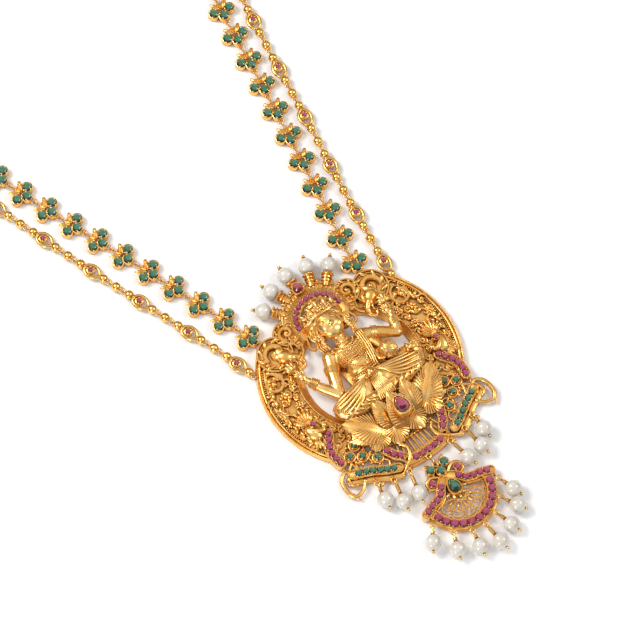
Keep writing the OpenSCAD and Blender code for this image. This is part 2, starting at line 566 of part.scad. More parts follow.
module hanging_pearl(q) let(a = bearing([q[0], q[1]], [q[2], q[3]])) color(pearl)
    on([q[2], q[3]] * u, pin_height, a) drilled_pearl();
module drilled_pearl() rotate([0, 90, 0]) rotate_extrude() intersection() {
    circle(d = pearl_diameter);
    translate([pearl_hole_diameter / 2, -pearl_diameter]) square(2 * pearl_diameter);
}
module crown_pearl(i) let(a = crown_pearl_angles[i]) color(pearl)
    on([0, halo_middle * u] + polar(crown_pearl_distance, a), pin_height, a) drilled_pearl();

module gallery_pearl_eyes(table) for (q = table) let(a = bearing([q[0], q[1]], [q[2], q[3]]))
    on([q[0], q[1]] * u, pin_height, a) {
        translate([-eye_step, 0, 0]) eye(true, 6);
        bar([-eye_step - eye_radius, 0, 0], 0.35, [-eye_step - eye_radius - 1.6, 0, -0.9], 0.6, 4);
    }

// chains

function leaf_spray() = concat([[0, -0.5]],
    [for (k = [0:10]) [1.8, 0] + polar(k % 2 == 0 ? 1.5 : (k == 5 ? 3.1 : 2.8), 13 * (k - 5))], [[0, 0.5]]);

module collet() {
    cylinder(d = collet_diameter, h = collet_height);
    cylinder(d = 0.8 * cluster_emerald_diameter, h = collet_height + 0.6 * stone_height);
}

module cluster(l) {
    start = eye_step + eye_radius;
    translate([eye_step, 0, joint_height]) eye(true);
    translate([l - eye_step, 0, joint_height]) eye(false);
    translate([start + 0.9 + collet_diameter / 6, 0, 0]) collet();
    for (y = [-1, 1]) translate([start + 2.5 + collet_diameter / 6, y * 0.72 * collet_diameter, 0]) collet();
    translate([start + 1.3, 0, 0.5]) linear_extrude(leaf_thickness) polygon(leaf_spray());
    translate([start - 0.1, -0.35, joint_height - 0.35]) cube([1.4, 0.7, 0.7]);
    translate([l - start - 2.2, -0.35, joint_height - 0.35]) cube([2.3, 0.7, 0.7]);
}

module joined_run(j) for (i = [0:len(j) - 2]) on(j[i], 0, bearing(j[i], j[i + 1])) children();

module emerald_chain(j) color(gold) for (i = [0:len(j) - 2])
    on(j[i], 0, bearing(j[i], j[i + 1])) cluster(norm(j[i + 1] - j[i]));

module gold_bead(x) translate([x, 0, joint_height]) rotate([0, 0, 45]) sphere(d = bead_diameter);

module strand_eyes(l) {
    translate([eye_step, 0, joint_height]) eye(true);
    translate([l - eye_step, 0, joint_height]) eye(false);
}

module round_bead(l) {
    strand_eyes(l);
    gold_bead(l / 2);
}

module oval_bead(l) {
    strand_eyes(l);
    gold_bead(l / 2 - oval_reach);
    gold_bead(l / 2 + oval_reach);
    translate([l / 2, 0, joint_height - 0.8]) difference() {
        linear_extrude(1.6) oval_outline(0);
        translate([0, 0, -1]) linear_extrude(4) intersection() {
            oval_outline(0.75);
            translate([-oval_length / 2, -oval_width]) square([oval_length / 2 - 0.9, 2 * oval_width]);
        }
    }
    translate([l / 2 + 0.3, 0, joint_height + 0.7]) cylinder(d = 2, h = 0.5);
    translate([l / 2 + 0.3, 0, joint_height + 1.1]) cylinder(d = 1, h = 0.4);
}
module oval_outline(inset) {
    polygon([for (k = [0:15]) [(oval_length / 2 - inset) * cos(22.5 * k),
        (oval_width / 2 - inset) * sin(22.5 * k)]]);
}

module bead_chain(j) color(gold) for (i = [0:len(j) - 2])
    on(j[i], 0, bearing(j[i], j[i + 1])) {
        if (i % 2 == 0) oval_bead(norm(j[i + 1] - j[i]));
        else round_bead(norm(j[i + 1] - j[i]));
    }

// end plates, back chain and clasp

function last(j) = j[len(j) - 1];
function end_bearing(j) = bearing(j[len(j) - 2], last(j));
function end_frame(a, b) = let(h = (end_bearing(a) + end_bearing(b)) / 2,
    m = (last(a) + last(b)) / 2 + polar(6, h)) [m, h];
function back_path(end, mid, stop) = let(s = end[0] + polar(end_clearance + 2.2, end[1]))
    smooth(concat([s, end[0] + polar(8, end[1])], mid, [stop]), 3);

module end_plate(a, b, end) color(gold) {
    for (j = [a, b]) on(last(j), joint_height, end_bearing(j)) {
        translate([eye_step, 0, 0]) eye(true);
        translate([eye_step + eye_radius, -0.5, -0.4]) cube([1.3, 1, 0.8]);
    }
    translate([0, 0, joint_height - end_plate_thickness / 2]) linear_extrude(end_plate_thickness)
        polygon([for (p = [last(a) + polar(1.8, end_bearing(a)) + polar(1, end[1] - 90),
            end[0] + polar(1.3, end[1] - 90) + polar(2.2, end[1]),
            end[0] + polar(1.3, end[1] + 90) + polar(2.2, end[1]),
            last(b) + polar(1.8, end_bearing(b)) + polar(1, end[1] + 90)]) p]);
}

module back_chain(end, mid, stop) color(gold)
    wire(back_path(end, mid, stop), joint_height, back_chain_width / 2, 8);

module clasp() color(gold) on(clasp_middle, clasp_diameter / 2, clasp_turn) rotate([0, 90, 0])
    rotate_extrude() polygon([[0, -clasp_length / 2], [1.2, -clasp_length / 2], [1.2, -clasp_length / 2 + 1.5],
        [clasp_diameter / 2, -clasp_length / 2 + 3], [clasp_diameter / 2, clasp_length / 2 - 3],
        [1.2, clasp_length / 2 - 1.5], [1.2, clasp_length / 2], [0, clasp_length / 2]]);

// stones

module halo_rubies() color(ruby) on([0, halo_middle * u], 0)
    stones([for (i = [0:halo_ruby_count - 1]) polar(halo_row_radius, 90 + 13.7 * (i - (halo_ruby_count - 1) / 2))],
        halo_ruby_diameter, halo_height);
module side_band_rubies() color(ruby) sides() stones(side_ruby_seats * u, band_ruby_diameter, side_band_height);
module gallery_rubies() color(ruby) {
    sides() stones(inner_ruby_seats * u, band_ruby_diameter, setting_height);
    stones(arc([0, 0], centre_arc_radius * u, -90 - 2 * centre_arc_step, -90 + 2 * centre_arc_step, 4),
        band_ruby_diameter, setting_height);
}
module gallery_emeralds() color(emerald) sides() {
    stones(bar_seats * u, bar_emerald_diameter, setting_height);
    stones(floret_seats * u, bar_emerald_diameter, setting_height);
}
module drop_rubies() color(ruby) translate([drop_shift, 0, 0]) {
    sides() stones(drop_curl_seats * u, band_ruby_diameter - 0.1, setting_height);
    stones(drop_scroll_seats * u, band_ruby_diameter, setting_height);
    on([0, drop_arc_middle * u], 0) stones(arc([0, 0], drop_arc_radius, drop_arc_ends[0], drop_arc_ends[1],
        drop_arc_count - 1), band_ruby_diameter, setting_height);
}
module drop_emeralds() color(emerald) translate([drop_shift, 0, 0])
    stones(drop_cluster_seats * u, bar_emerald_diameter + 0.5, setting_height);
module halo_pear_ruby() color(ruby) on(halo_pear_seat * u, halo_height + 0.8 + stone_clearance)
    pear_stone(halo_pear_length, 0.9 * halo_pear_length, 1.2 * stone_height);
module lotus_pear_ruby() color(ruby) on(lotus_gem_seat * u, lotus_gem_height + stone_clearance)
    pear_stone(lotus_pear_length, 0.72 * lotus_pear_length, 2 * stone_height);
module drop_pear_emerald() color(emerald) translate([drop_shift, 0, 0])
    on(drop_gem_seat * u, setting_height + 0.4 + stone_clearance)
    pear_stone(drop_pear_length, 0.72 * drop_pear_length, 1.6 * stone_height);
module peacock_eye() color(ruby) on(peacock_eye_seat * u, peacock_height + stone_clearance)
    cut_stone(eye_ruby_diameter, stone_height);

ring_frame();
goddess_figure();
lotus_base();
lower_gallery();
drop_bail();
drop_frame();
halo_pear_ruby();
lotus_pear_ruby();
drop_pear_emerald();
mirror([1, 0, 0]) peacock_eye();  // peacock_eye_left
peacock_eye();  // peacock_eye_right
halo_rubies();
side_band_rubies();
gallery_rubies();
gallery_emeralds();
drop_rubies();
drop_emeralds();
crown_pearl(0);  // crown_pearl_1
crown_pearl(1);  // crown_pearl_2
crown_pearl(2);  // crown_pearl_3
crown_pearl(3);  // crown_pearl_4
crown_pearl(4);  // crown_pearl_5
hanging_pearl(gallery_pearls[0]);  // gallery_pearl_1
hanging_pearl(gallery_pearls[1]);  // gallery_pearl_2
hanging_pearl(gallery_pearls[2]);  // gallery_pearl_3
hanging_pearl(gallery_pearls[3]);  // gallery_pearl_4
hanging_pearl(gallery_pearls[4]);  // gallery_pearl_5
hanging_pearl(gallery_pearls[5]);  // gallery_pearl_6
hanging_pearl(drop_pearls[0]);  // drop_pearl_1
hanging_pearl(drop_pearls[1]);  // drop_pearl_2
hanging_pearl(drop_pearls[2]);  // drop_pearl_3
hanging_pearl(drop_pearls[3]);  // drop_pearl_4
hanging_pearl(drop_pearls[4]);  // drop_pearl_5
hanging_pearl(drop_pearls[5]);  // drop_pearl_6
hanging_pearl(drop_pearls[6]);  // drop_pearl_7
color(gold) for (q = gallery_pearls) pin(q);  // gallery_pearl_pins
color(gold) for (q = drop_pearls) pin(q);  // drop_pearl_pins
emerald_chain(left_inner_joints);  // emerald_chain_left
emerald_chain(right_inner_joints);  // emerald_chain_right
bead_chain(left_outer_joints);  // bead_chain_left
bead_chain(right_outer_joints);  // bead_chain_right
end_plate(left_inner_joints, left_outer_joints, left_end);  // end_plate_left
end_plate(right_outer_joints, right_inner_joints, right_end);  // end_plate_right
back_chain(left_end, left_back, clasp_left_end);  // back_chain_left
back_chain(right_end, right_back, clasp_right_end);  // back_chain_right
clasp();
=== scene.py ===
"""Looks of a temple jewellery necklace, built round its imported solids.

A long necklace lies on a pale table: two strands on each side (emerald clusters within, gold
beads with ruby ovals without), a round openwork pendant with a seated figure on a lotus, a
lower gallery of set stones, a small hanging drop, and pearls on wrapped pins.  Every mesh is
modelled in millimetres in the frame of the solids and turned to metres as its last step.
"""

import logging
import math
from collections.abc import Callable, Iterable, Sequence
from dataclasses import dataclass, field
from enum import Enum

import bpy
from mathutils import Matrix, Vector


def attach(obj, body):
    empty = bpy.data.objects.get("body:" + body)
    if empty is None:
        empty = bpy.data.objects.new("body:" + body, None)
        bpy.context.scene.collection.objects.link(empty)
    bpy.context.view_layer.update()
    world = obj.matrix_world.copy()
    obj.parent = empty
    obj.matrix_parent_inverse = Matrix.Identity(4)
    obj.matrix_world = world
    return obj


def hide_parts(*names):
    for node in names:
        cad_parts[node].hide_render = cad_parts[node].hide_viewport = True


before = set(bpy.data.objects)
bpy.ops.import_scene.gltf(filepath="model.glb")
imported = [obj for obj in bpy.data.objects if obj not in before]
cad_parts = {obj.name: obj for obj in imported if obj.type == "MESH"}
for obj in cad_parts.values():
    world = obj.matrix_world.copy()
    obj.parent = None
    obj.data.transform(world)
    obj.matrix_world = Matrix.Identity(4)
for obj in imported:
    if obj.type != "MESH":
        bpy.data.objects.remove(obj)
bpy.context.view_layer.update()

LOG = logging.getLogger("temple_necklace")
MM = 0.001
HUNDREDTH = 0.282  # mm: a hundredth of the pendant ring's radius, the unit of the seat tables

Point2 = tuple[float, float]
Point3 = tuple[float, float, float]
Object = bpy.types.Object
Material = bpy.types.Material
NodeTree = bpy.types.NodeTree
Socket = bpy.types.NodeSocket
UPRIGHT = Matrix.Rotation(math.pi / 2, 4, "X")
ALONG_X = Matrix.Rotation(math.pi / 2, 4, "Y")
WELD = 0.0005  # mm: corners nearer than this become one


class Slot(Enum):
    """The record's material slots."""

    GOLD = "gold"
    RUBY = "ruby"
    EMERALD = "emerald"
    PEARL = "pearl"


class Side(Enum):
    """The two sides of the pendant, as the sign of X."""

    LEFT = -1
    RIGHT = 1


# Plain geometry


def polar(radius: float, degrees: float, centre: Point2 = (0.0, 0.0)) -> Point2:
    """A point at that radius and angle from the centre."""
    angle = math.radians(degrees)
    return (centre[0] + radius * math.cos(angle), centre[1] + radius * math.sin(angle))


def bearing(start: Sequence[float], end: Sequence[float]) -> float:
    """The direction in degrees from start to end, seen from above."""
    return math.degrees(math.atan2(end[1] - start[1], end[0] - start[0]))


def smooth(points: Sequence[Sequence[float]], steps: int) -> list[tuple[float, ...]]:
    """Rounds a row of points into a curve through them.

    Args:
        points: two or three numbers each.
        steps: new points for each span.

    Returns:
        The points of the curve, the first and last of the row among them.
    """
    row = [Vector(p) for p in points]
    last = len(row) - 1
    out = []
    for i in range(last):
        a, b, c, d = row[max(i - 1, 0)], row[i], row[i + 1], row[min(i + 2, last)]
        for k in range(steps):
            t = k / steps
            out.append(tuple(0.5
                             * (2 * b + (c - a) * t + (2 * a - 5 * b + 4 * c - d) * t * t
                                + (3 * b - a - 3 * c + d) * t ** 3)))
    out.append(tuple(row[last]))
    return out


def arc(radius: float, start: float, end: float, steps: int, centre: Point2 = (0, 0)) -> list[Point2]:
    """Points along an arc, both ends among them."""
    return [polar(radius, start + (end - start) * i / steps, centre) for i in range(steps + 1)]


def spiral(centre: Point2, radius: float, start: float, sweep: float, steps: int = 22,
           shrink: float = 0.8) -> list[Point2]:
    """Points of a curl that winds inwards from its outer end."""
    return [
        polar(radius * (1 - shrink * i / steps), start + sweep * i / steps, centre) for i in range(steps + 1)]


def lifted(points: Iterable[Sequence[float]], height: float) -> list[Point3]:
    """Flat points at one height."""
    return [(p[0], p[1], height) for p in points]


def mirrored(points: Iterable[Sequence[float]], side: Side) -> list[tuple[float, ...]]:
    """Points of the right side, or the same on the left."""
    return [(side.value * p[0], *p[1:]) for p in points]


def on_side(point: Sequence[float], side: Side) -> Point2:
    """A point of the right side, or its twin on the left."""
    return (side.value * point[0], point[1])


def facing(degrees: float, side: Side) -> float:
    """A direction of the right side, or its mirror image on the left."""
    return degrees if side is Side.RIGHT else 180 - degrees


def hundredths(points: Iterable[Sequence[float]]) -> list[Point2]:
    """Seats in hundredths of the ring's radius as millimetres."""
    return [(p[0] * HUNDREDTH, p[1] * HUNDREDTH) for p in points]


def marked(route: Sequence[Point2], marks: Sequence[float]) -> list[Point2]:
    """The points of a route at those lengths along it."""
    out, gone, i = [], 0.0, 0
    for mark in marks:
        while i < len(route) - 2 and gone + math.dist(route[i], route[i + 1]) < mark:
            gone += math.dist(route[i], route[i + 1])
            i += 1
        t = (mark - gone) / math.dist(route[i], route[i + 1])
        out.append((route[i][0] + (route[i + 1][0] - route[i][0]) * t,
                    route[i][1] + (route[i + 1][1] - route[i][1]) * t))
    return out


def placed(x: float, y: float, z: float = 0.0, turn: float = 0.0, size: float | Point3 = 1.0,
           tilt: float = 0.0) -> Matrix:
    """A place for a copy: scaled, tilted nose up about Y, turned about Z, then moved.

    Args:
        x, y, z: where its origin goes.
        turn: degrees about Z.
        size: one factor or three.
        tilt: degrees that its +X end rises.

    Returns:
        The matrix.
    """
    factors = (size, size, size) if isinstance(size, (int, float)) else size
    return (Matrix.Translation((x, y, z)) @ Matrix.Rotation(math.radians(turn), 4, "Z")
            @ Matrix.Rotation(math.radians(-tilt), 4, "Y") @ Matrix.Diagonal((*factors, 1)))


# The bench: modelling tools


class Bench:
    """Modelling steps that the pieces share, all with Blender's own operators."""

    @staticmethod
    def clear() -> None:
        """Leaves nothing selected, so that an operator acts on the next mesh alone."""
        for o in bpy.context.selected_objects:
            o.select_set(False)

    @staticmethod
    def hold(shape: Object) -> Object:
        """Makes a shape the one selected and active object."""
        Bench.clear()
        shape.select_set(True)
        bpy.context.view_layer.objects.active = shape
        return shape

    @staticmethod
    def edit(shape: Object) -> None:
        """Opens a shape in edit mode with all of it selected."""
        Bench.hold(shape)
        bpy.ops.object.mode_set(mode="EDIT")
        bpy.ops.mesh.select_all(action="SELECT")

    @staticmethod
    def close() -> Object:
        """Leaves edit mode."""
        bpy.ops.object.mode_set(mode="OBJECT")
        return bpy.context.view_layer.objects.active

    @staticmethod
    def modified(shape: Object, kind: str, **settings: object) -> Object:
        """Adds a modifier of that kind and applies it."""
        Bench.hold(shape)
        modifier = shape.modifiers.new(kind.lower(), kind)
        for name, value in settings.items():
            setattr(modifier, name, value)
        bpy.ops.object.modifier_apply(modifier=modifier.name)
        return shape

    @staticmethod
    def reshaped(shape: Object, rule: Callable[[Vector], Vector | Point3]) -> Object:
        """Moves every vertex by a rule."""
        for v in shape.data.vertices:
            v.co = rule(v.co.copy())
        return shape

    @staticmethod
    def ball(segments: int = 16, rings: int = 10) -> Object:
        """A ball of radius 1 with its poles along Z."""
        Bench.clear()
        bpy.ops.mesh.primitive_uv_sphere_add(segments=segments, ring_count=rings, radius=1)
        return bpy.context.object

    @staticmethod
    def corners(places: Sequence[Point3], fill: str = "NOTHING") -> Object:
        """A closed row of edges through those corners, filled where asked."""
        Bench.clear()
        bpy.ops.mesh.primitive_circle_add(vertices=len(places), fill_type=fill)
        shape = bpy.context.object
        for v, place in zip(shape.data.vertices, places):
            v.co = place
        return shape

    @staticmethod
    def lathe(profile: Sequence[Point2], steps: int, sweep: float = 360.0, start: float = 0.0) -> Object:
        """Turns a closed profile about Z.

        Args:
            profile: radius and height of each corner, in order round it.
            steps: faces round the sweep.
            sweep: degrees turned; below 360 the ends are filled.
            start: degrees where the sweep begins.

        Returns:
            The closed solid.
        """
        shape = Bench.corners([(*polar(r, start), z) for r, z in profile])
        Bench.edit(shape)
        bpy.ops.mesh.spin(steps=steps, angle=math.radians(sweep), center=(0, 0, 0), axis=(0, 0, -1))
        bpy.ops.mesh.select_all(action="SELECT")
        bpy.ops.mesh.remove_doubles(threshold=WELD)
        if sweep < 360:
            bpy.ops.mesh.select_all(action="SELECT")
            bpy.ops.mesh.region_to_loop()
            bpy.ops.mesh.edge_face_add()
        bpy.ops.mesh.select_all(action="SELECT")
        bpy.ops.mesh.normals_make_consistent(inside=False)
        return Bench.close()

    @staticmethod
    def turned(profile: Sequence[Point2], steps: int) -> Object:
        """Turns an open profile whose two ends lie on the axis into a closed solid."""
        shape = Bench.corners([(r, 0, z) for r, z in profile])
        ends = {0, len(profile) - 1}
        Bench.unmarked(shape)
        for edge in shape.data.edges:
            edge.select = set(edge.vertices) == ends
        Bench.edit_marked(shape, "EDGE")
        bpy.ops.mesh.delete(type="EDGE")
        bpy.ops.mesh.select_all(action="SELECT")
        bpy.ops.mesh.spin(steps=steps, angle=math.tau, center=(0, 0, 0), axis=(0, 0, 1))
        bpy.ops.mesh.select_all(action="SELECT")
        bpy.ops.mesh.remove_doubles(threshold=WELD)
        bpy.ops.mesh.normals_make_consistent(inside=False)
        return Bench.close()

    @staticmethod
    def edit_marked(shape: Object, kind: str) -> None:
        """Opens a shape in edit mode with the edges or faces that are marked."""
        Bench.hold(shape)
        bpy.ops.object.mode_set(mode="EDIT")
        bpy.ops.mesh.select_mode(type=kind)

    @staticmethod
    def unmarked(shape: Object) -> None:
        """Leaves a shape in object mode with none of it marked."""
        Bench.edit(shape)
        bpy.ops.mesh.select_all(action="DESELECT")
        bpy.ops.object.mode_set(mode="OBJECT")

    @staticmethod
    def drawn_out(shape: Object, rise: float, shrink: float, turn: float = 0.0) -> None:
        """Extrudes the top face, or the bottom one where the rise is negative, then shrinks and turns it.

        Args:
            shape: the stone.
            rise: how far the face moves.
            shrink: its new share of its width.
            turn: degrees about Z.
        """
        sign = 1 if rise > 0 else -1
        extreme = max(sign * v.co.z for v in shape.data.vertices)
        Bench.unmarked(shape)
        for face in shape.data.polygons:
            face.select = abs(sign * face.center.z - extreme) < 0.001 and abs(face.normal.z) > 0.9
        Bench.edit_marked(shape, "FACE")
        bpy.ops.mesh.extrude_region_move(TRANSFORM_OT_translate={"value": (0, 0, rise)})
        bpy.ops.transform.resize(value=(shrink, shrink, 1))
        if turn:
            bpy.ops.transform.rotate(value=math.radians(turn), orient_axis="Z", center_override=(0, 0, 0))
        Bench.close()

    @staticmethod
    def ring(major: float, minor: float, steps: int = 24, sides: int = 8) -> Object:
        """A round link that lies flat."""
        Bench.clear()
        bpy.ops.mesh.primitive_torus_add(
            major_radius=major, minor_radius=minor, major_segments=steps, minor_segments=sides)
        return bpy.context.object

    @staticmethod
    def plate(outline: Sequence[Point2], low: float, high: float, rounding: float = 0.12) -> Object:
        """A flat plate with softened edges: its outline is filled, then extruded.

        Args:
            outline: the corners in order.
            low, high: heights of its two faces.
            rounding: width of the softened edge, or 0 for none.

        Returns:
            The plate.
        """
        shape = Bench.corners(lifted(outline, low), "NGON")
        Bench.edit(shape)
        bpy.ops.mesh.extrude_region_move(TRANSFORM_OT_translate={"value": (0, 0, high - low)})
        bpy.ops.mesh.select_all(action="SELECT")
        bpy.ops.mesh.normals_make_consistent(inside=False)
        Bench.close()
        if rounding > 0:
            Bench.modified(shape, "BEVEL", width=rounding, segments=2, limit_method="ANGLE",
                           angle_limit=math.radians(50))
        return shape

    @staticmethod
    def wires(paths: Sequence[Sequence[Point3]], thickness: float | Callable[[float], float],
              fineness: int = 1) -> Object:
        """Round wires along rows of points, one mesh for them all.

        Args:
            paths: the points of each wire's middle.
            thickness: radius, or a rule that gives it from 0 at a wire's start to 1 at its end.
            fineness: 0 gives 4 sides, 1 gives 6, 2 gives 8.

        Returns:
            The wires, closed at their ends.
        """
        Bench.clear()
        bpy.ops.curve.primitive_nurbs_path_add()
        shape = bpy.context.object
        line = shape.data
        line.splines.clear()
        line.dimensions = "3D"
        line.twist_mode = "Z_UP"
        line.bevel_depth = 1
        line.bevel_resolution = fineness
        line.use_fill_caps = True
        for path in paths:
            strand = line.splines.new("POLY")
            strand.points.add(len(path) - 1)
            for i, (p, q) in enumerate(zip(strand.points, path)):
                p.co = (*q, 1)
                share = i / (len(path) - 1)
                p.radius = thickness(share) if callable(thickness) else thickness
        Bench.hold(shape)
        bpy.ops.object.convert(target="MESH")
        shape = bpy.context.object
        Bench.edit(shape)
        bpy.ops.mesh.remove_doubles(threshold=WELD)
        bpy.ops.mesh.normals_make_consistent(inside=False)
        return Bench.close()

    @staticmethod
    def eye(at: Matrix, wire: float, steps: int = 20) -> Object:
        """A wire eye, its middle at that place."""
        loop = Bench.ring(EYE_RADIUS, wire, steps, 8)
        loop.data.transform(at)
        return loop

    @staticmethod
    def copies(pattern: Object, places: Iterable[Matrix]) -> list[Object]:
        """Copies of a pattern at those places, each with its own mesh."""
        out = []
        for place in places:
            twin = pattern.copy()
            twin.data = pattern.data.copy()
            twin.data.transform(place)
            if place.determinant() < 0:
                twin.data.flip_normals()
            bpy.context.scene.collection.objects.link(twin)
            out.append(twin)
        return out

    @staticmethod
    def joined(shapes: Sequence[Object]) -> Object:
        """Joins shapes into the first one's mesh."""
        Bench.clear()
        for shape in shapes:
            shape.select_set(True)
        bpy.context.view_layer.objects.active = shapes[0]
        if len(shapes) > 1:
            bpy.ops.object.join()
        return bpy.context.view_layer.objects.active

    @staticmethod
    def smoothed(shape: Object, crease: float) -> Object:
        """Shades a shape smooth, but for edges sharper than that many degrees."""
        Bench.hold(shape)
        bpy.ops.object.shade_smooth_by_angle(angle=math.radians(crease))
        return shape

    @staticmethod
    def discard(*shapes: Object) -> None:
        """Removes patterns that have been copied."""
        for shape in shapes:
            bpy.data.meshes.remove(shape.data)


class Kit:
    """Small patterns that many pieces take copies of, each modelled once."""

    def __init__(self) -> None:
        """Makes an empty kit."""
        self._patterns: dict[str, Object] = {}

    def pattern(self, name: str, make: Callable[[], Object]) -> Object:
        """The pattern of that name, modelled at its first use and kept out of the scene."""
        if name not in self._patterns:
            shape = make()
            shape.name = "pattern_" + name
            for collection in list(shape.users_collection):
                collection.objects.unlink(shape)
            self._patterns[name] = shape
        return self._patterns[name]

    def clear(self) -> None:
        """Removes every pattern."""
        for shape in self._patterns.values():
            bpy.data.meshes.remove(shape.data)
        self._patterns.clear()

    def ball(self) -> Object:
        """A small round ball of radius 1."""
        return self.pattern("ball", lambda: Bench.ball(10, 6))

    def fine_ball(self) -> Object:
        """A smoother ball of radius 1."""
        return self.pattern("fine_ball", lambda: Bench.ball(24, 16))

    def grain(self) -> Object:
        """A tiny ball of radius 1 for milled edges."""
        def make() -> Object:
            """Models the grain."""
            Bench.clear()
            bpy.ops.mesh.primitive_ico_sphere_add(subdivisions=1, radius=1)
            return bpy.context.object
        return self.pattern("grain", make)

    def stone(self) -> Object:
        """A round brilliant of diameter 1: its girdle at height 0, table at 0.3, point below."""
        def make() -> Object:
            """Models the stone."""
            Bench.clear()
            bpy.ops.mesh.primitive_cylinder_add(vertices=16, radius=0.5, depth=0.06, end_fill_type="NGON")
            shape = bpy.context.object
            for rise, shrink, turn in ((0.15, 0.8, 11.25), (0.1, 0.7, 0.0), (-0.3, 0.25, 0.0)):
                Bench.drawn_out(shape, rise, shrink, turn)
            return shape
        return self.pattern("stone", make)

    def collet(self) -> Object:
        """A round setting for a stone of diameter 1: wall, bead prongs, its rim at height 0."""
        def make() -> Object:
            """Models the collet."""
            wall = Bench.lathe([(0.5, -0.05), (0.56, 0.03), (0.63, 0.0), (0.66, -0.1), (0.66, -1.0),
                                (0.36, -1.0), (0.4, -0.35)], 20)
            prongs = Bench.copies(
                self.ball(),
                [placed(*polar(0.53, 45 + 90 * k), 0.06, size=(0.13, 0.13, 0.14)) for k in range(4)])
            return Bench.joined([wall, *prongs])
        return self.pattern("collet", make)

    def leaf(self) -> Object:
        """A pointed leaf from (0, 0) to (1, 0), width 1, height 1, with a raised rib."""
        def make() -> Object:
            """Models the leaf."""
            shape = Bench.ball(14, 9)

            def rule(p: Vector) -> Point3:
                """Where a corner goes."""
                t = min(max((p.x + 1) / 2, 0), 1)
                width = math.sin(math.pi * t ** 0.85) ** 0.8 if 0 < t < 1 else 0
                rib = 0.35 * math.exp(-(p.y / 0.16) ** 2) * (1 - t)
                return (t, 0.5 * p.y * (0.55 + 0.45 * width), 0.5 * p.z + (rib if p.z > 0 else 0))
            return Bench.reshaped(shape, rule)
        return self.pattern("leaf", make)

    def rosette(self) -> Object:
        """A flower of eight petals round a ball, radius 1, height about 0.5, on height 0."""
        def make() -> Object:
            """Models the rosette."""
            petals = Bench.copies(
                self.ball(),
                [placed(*polar(0.62, 45 * k), 0.12, 45 * k, (0.38, 0.24, 0.22)) for k in range(8)])
            heart = Bench.copies(self.ball(), [placed(0, 0, 0.25, size=(0.32, 0.32, 0.3))])
            disc = Bench.lathe([(0.0001, -0.4), (0.85, -0.4), (0.85, 0.05), (0.0001, 0.1)], 16)
            return Bench.joined([disc, *petals, *heart])
        return self.pattern("rosette", make)


# Finishes


class Nodes:
    """A small builder for shader node trees."""

    def __init__(self, tree: NodeTree) -> None:
        """Starts on an empty tree."""
        self.tree = tree
        self._column = 0

    def add(self, kind: str, **values: object) -> bpy.types.Node:
        """Adds a node; values name its properties, or its inputs with underscores for spaces."""
        node = self.tree.nodes.new(kind)
        node.location = (self._column * 180, 0)
        self._column += 1
        for name, value in values.items():
            if hasattr(node, name):
                setattr(node, name, value)
            else:
                node.inputs[name.replace("_", " ")].default_value = value
        return node

    def link(self, source: Socket, target: Socket) -> None:
        """Joins an output to an input."""
        self.tree.links.new(source, target)

    def ramp(self, source: Socket, stops: Sequence[tuple[float, tuple[float, ...]]]) -> Socket:
        """A colour ramp fed by a value.

        Args:
            source: the value.
            stops: position and colour of each stop.

        Returns:
            The ramp's colour.
        """
        node = self.add("ShaderNodeValToRGB")
        band = node.color_ramp
        while len(band.elements) < len(stops):
            band.elements.new(0.5)
        for element, (position, colour) in zip(band.elements, stops):
            element.position = position
            element.color = (*colour, 1) if len(colour) == 3 else colour
        self.link(source, node.inputs["Fac"])
        return node.outputs["Color"]

    def maths(self, operation: str, a: Socket | float, b: Socket | float) -> Socket:
        """One step of arithmetic on sockets or numbers."""
        node = self.add("ShaderNodeMath", operation=operation)
        for i, value in enumerate((a, b)):
            if isinstance(value, (int, float)):
                node.inputs[i].default_value = value
            else:
                self.link(value, node.inputs[i])
        return node.outputs[0]

    def mixed(self, share: Socket, a: Socket, b: Socket) -> Socket:
        """Mixes two colours."""
        node = self.add("ShaderNodeMix", data_type="RGBA")
        for i, value in ((0, share), (6, a), (7, b)):
            self.link(value, node.inputs[i])
        return node.outputs[2]


def new_material(name: str, **values: object) -> tuple[Material, Nodes, bpy.types.Node]:
    """Starts a material.

    Args:
        name: its name.
        values: inputs of its shader, with underscores for spaces.

    Returns:
        The material, its builder and its shader.
    """
    made = bpy.data.materials.new(name)
    made.use_nodes = True
    shader = made.node_tree.nodes["Principled BSDF"]
    for label, value in values.items():
        shader.inputs[label.replace("_", " ")].default_value = value
    return made, Nodes(made.node_tree), shader


def shared_group(
        name: str, inputs: Sequence[tuple[str, str, object]],
        outputs: Sequence[tuple[str, str]]) -> tuple[NodeTree, Nodes, bpy.types.Node, bpy.types.Node]:
    """Starts a node group that several materials use.

    Args:
        name: the group's name.
        inputs: name, socket kind and first value of each input.
        outputs: name and socket kind of each output.

    Returns:
        The group, its builder, and its input and output nodes.
    """
    tree = bpy.data.node_groups.new(name, "ShaderNodeTree")
    for label, kind, value in inputs:
        tree.interface.new_socket(
            label, in_out="INPUT", socket_type="NodeSocket" + kind).default_value = value
    for label, kind in outputs:
        tree.interface.new_socket(label, in_out="OUTPUT", socket_type="NodeSocket" + kind)
    build = Nodes(tree)
    return tree, build, build.add("NodeGroupInput"), build.add("NodeGroupOutput")


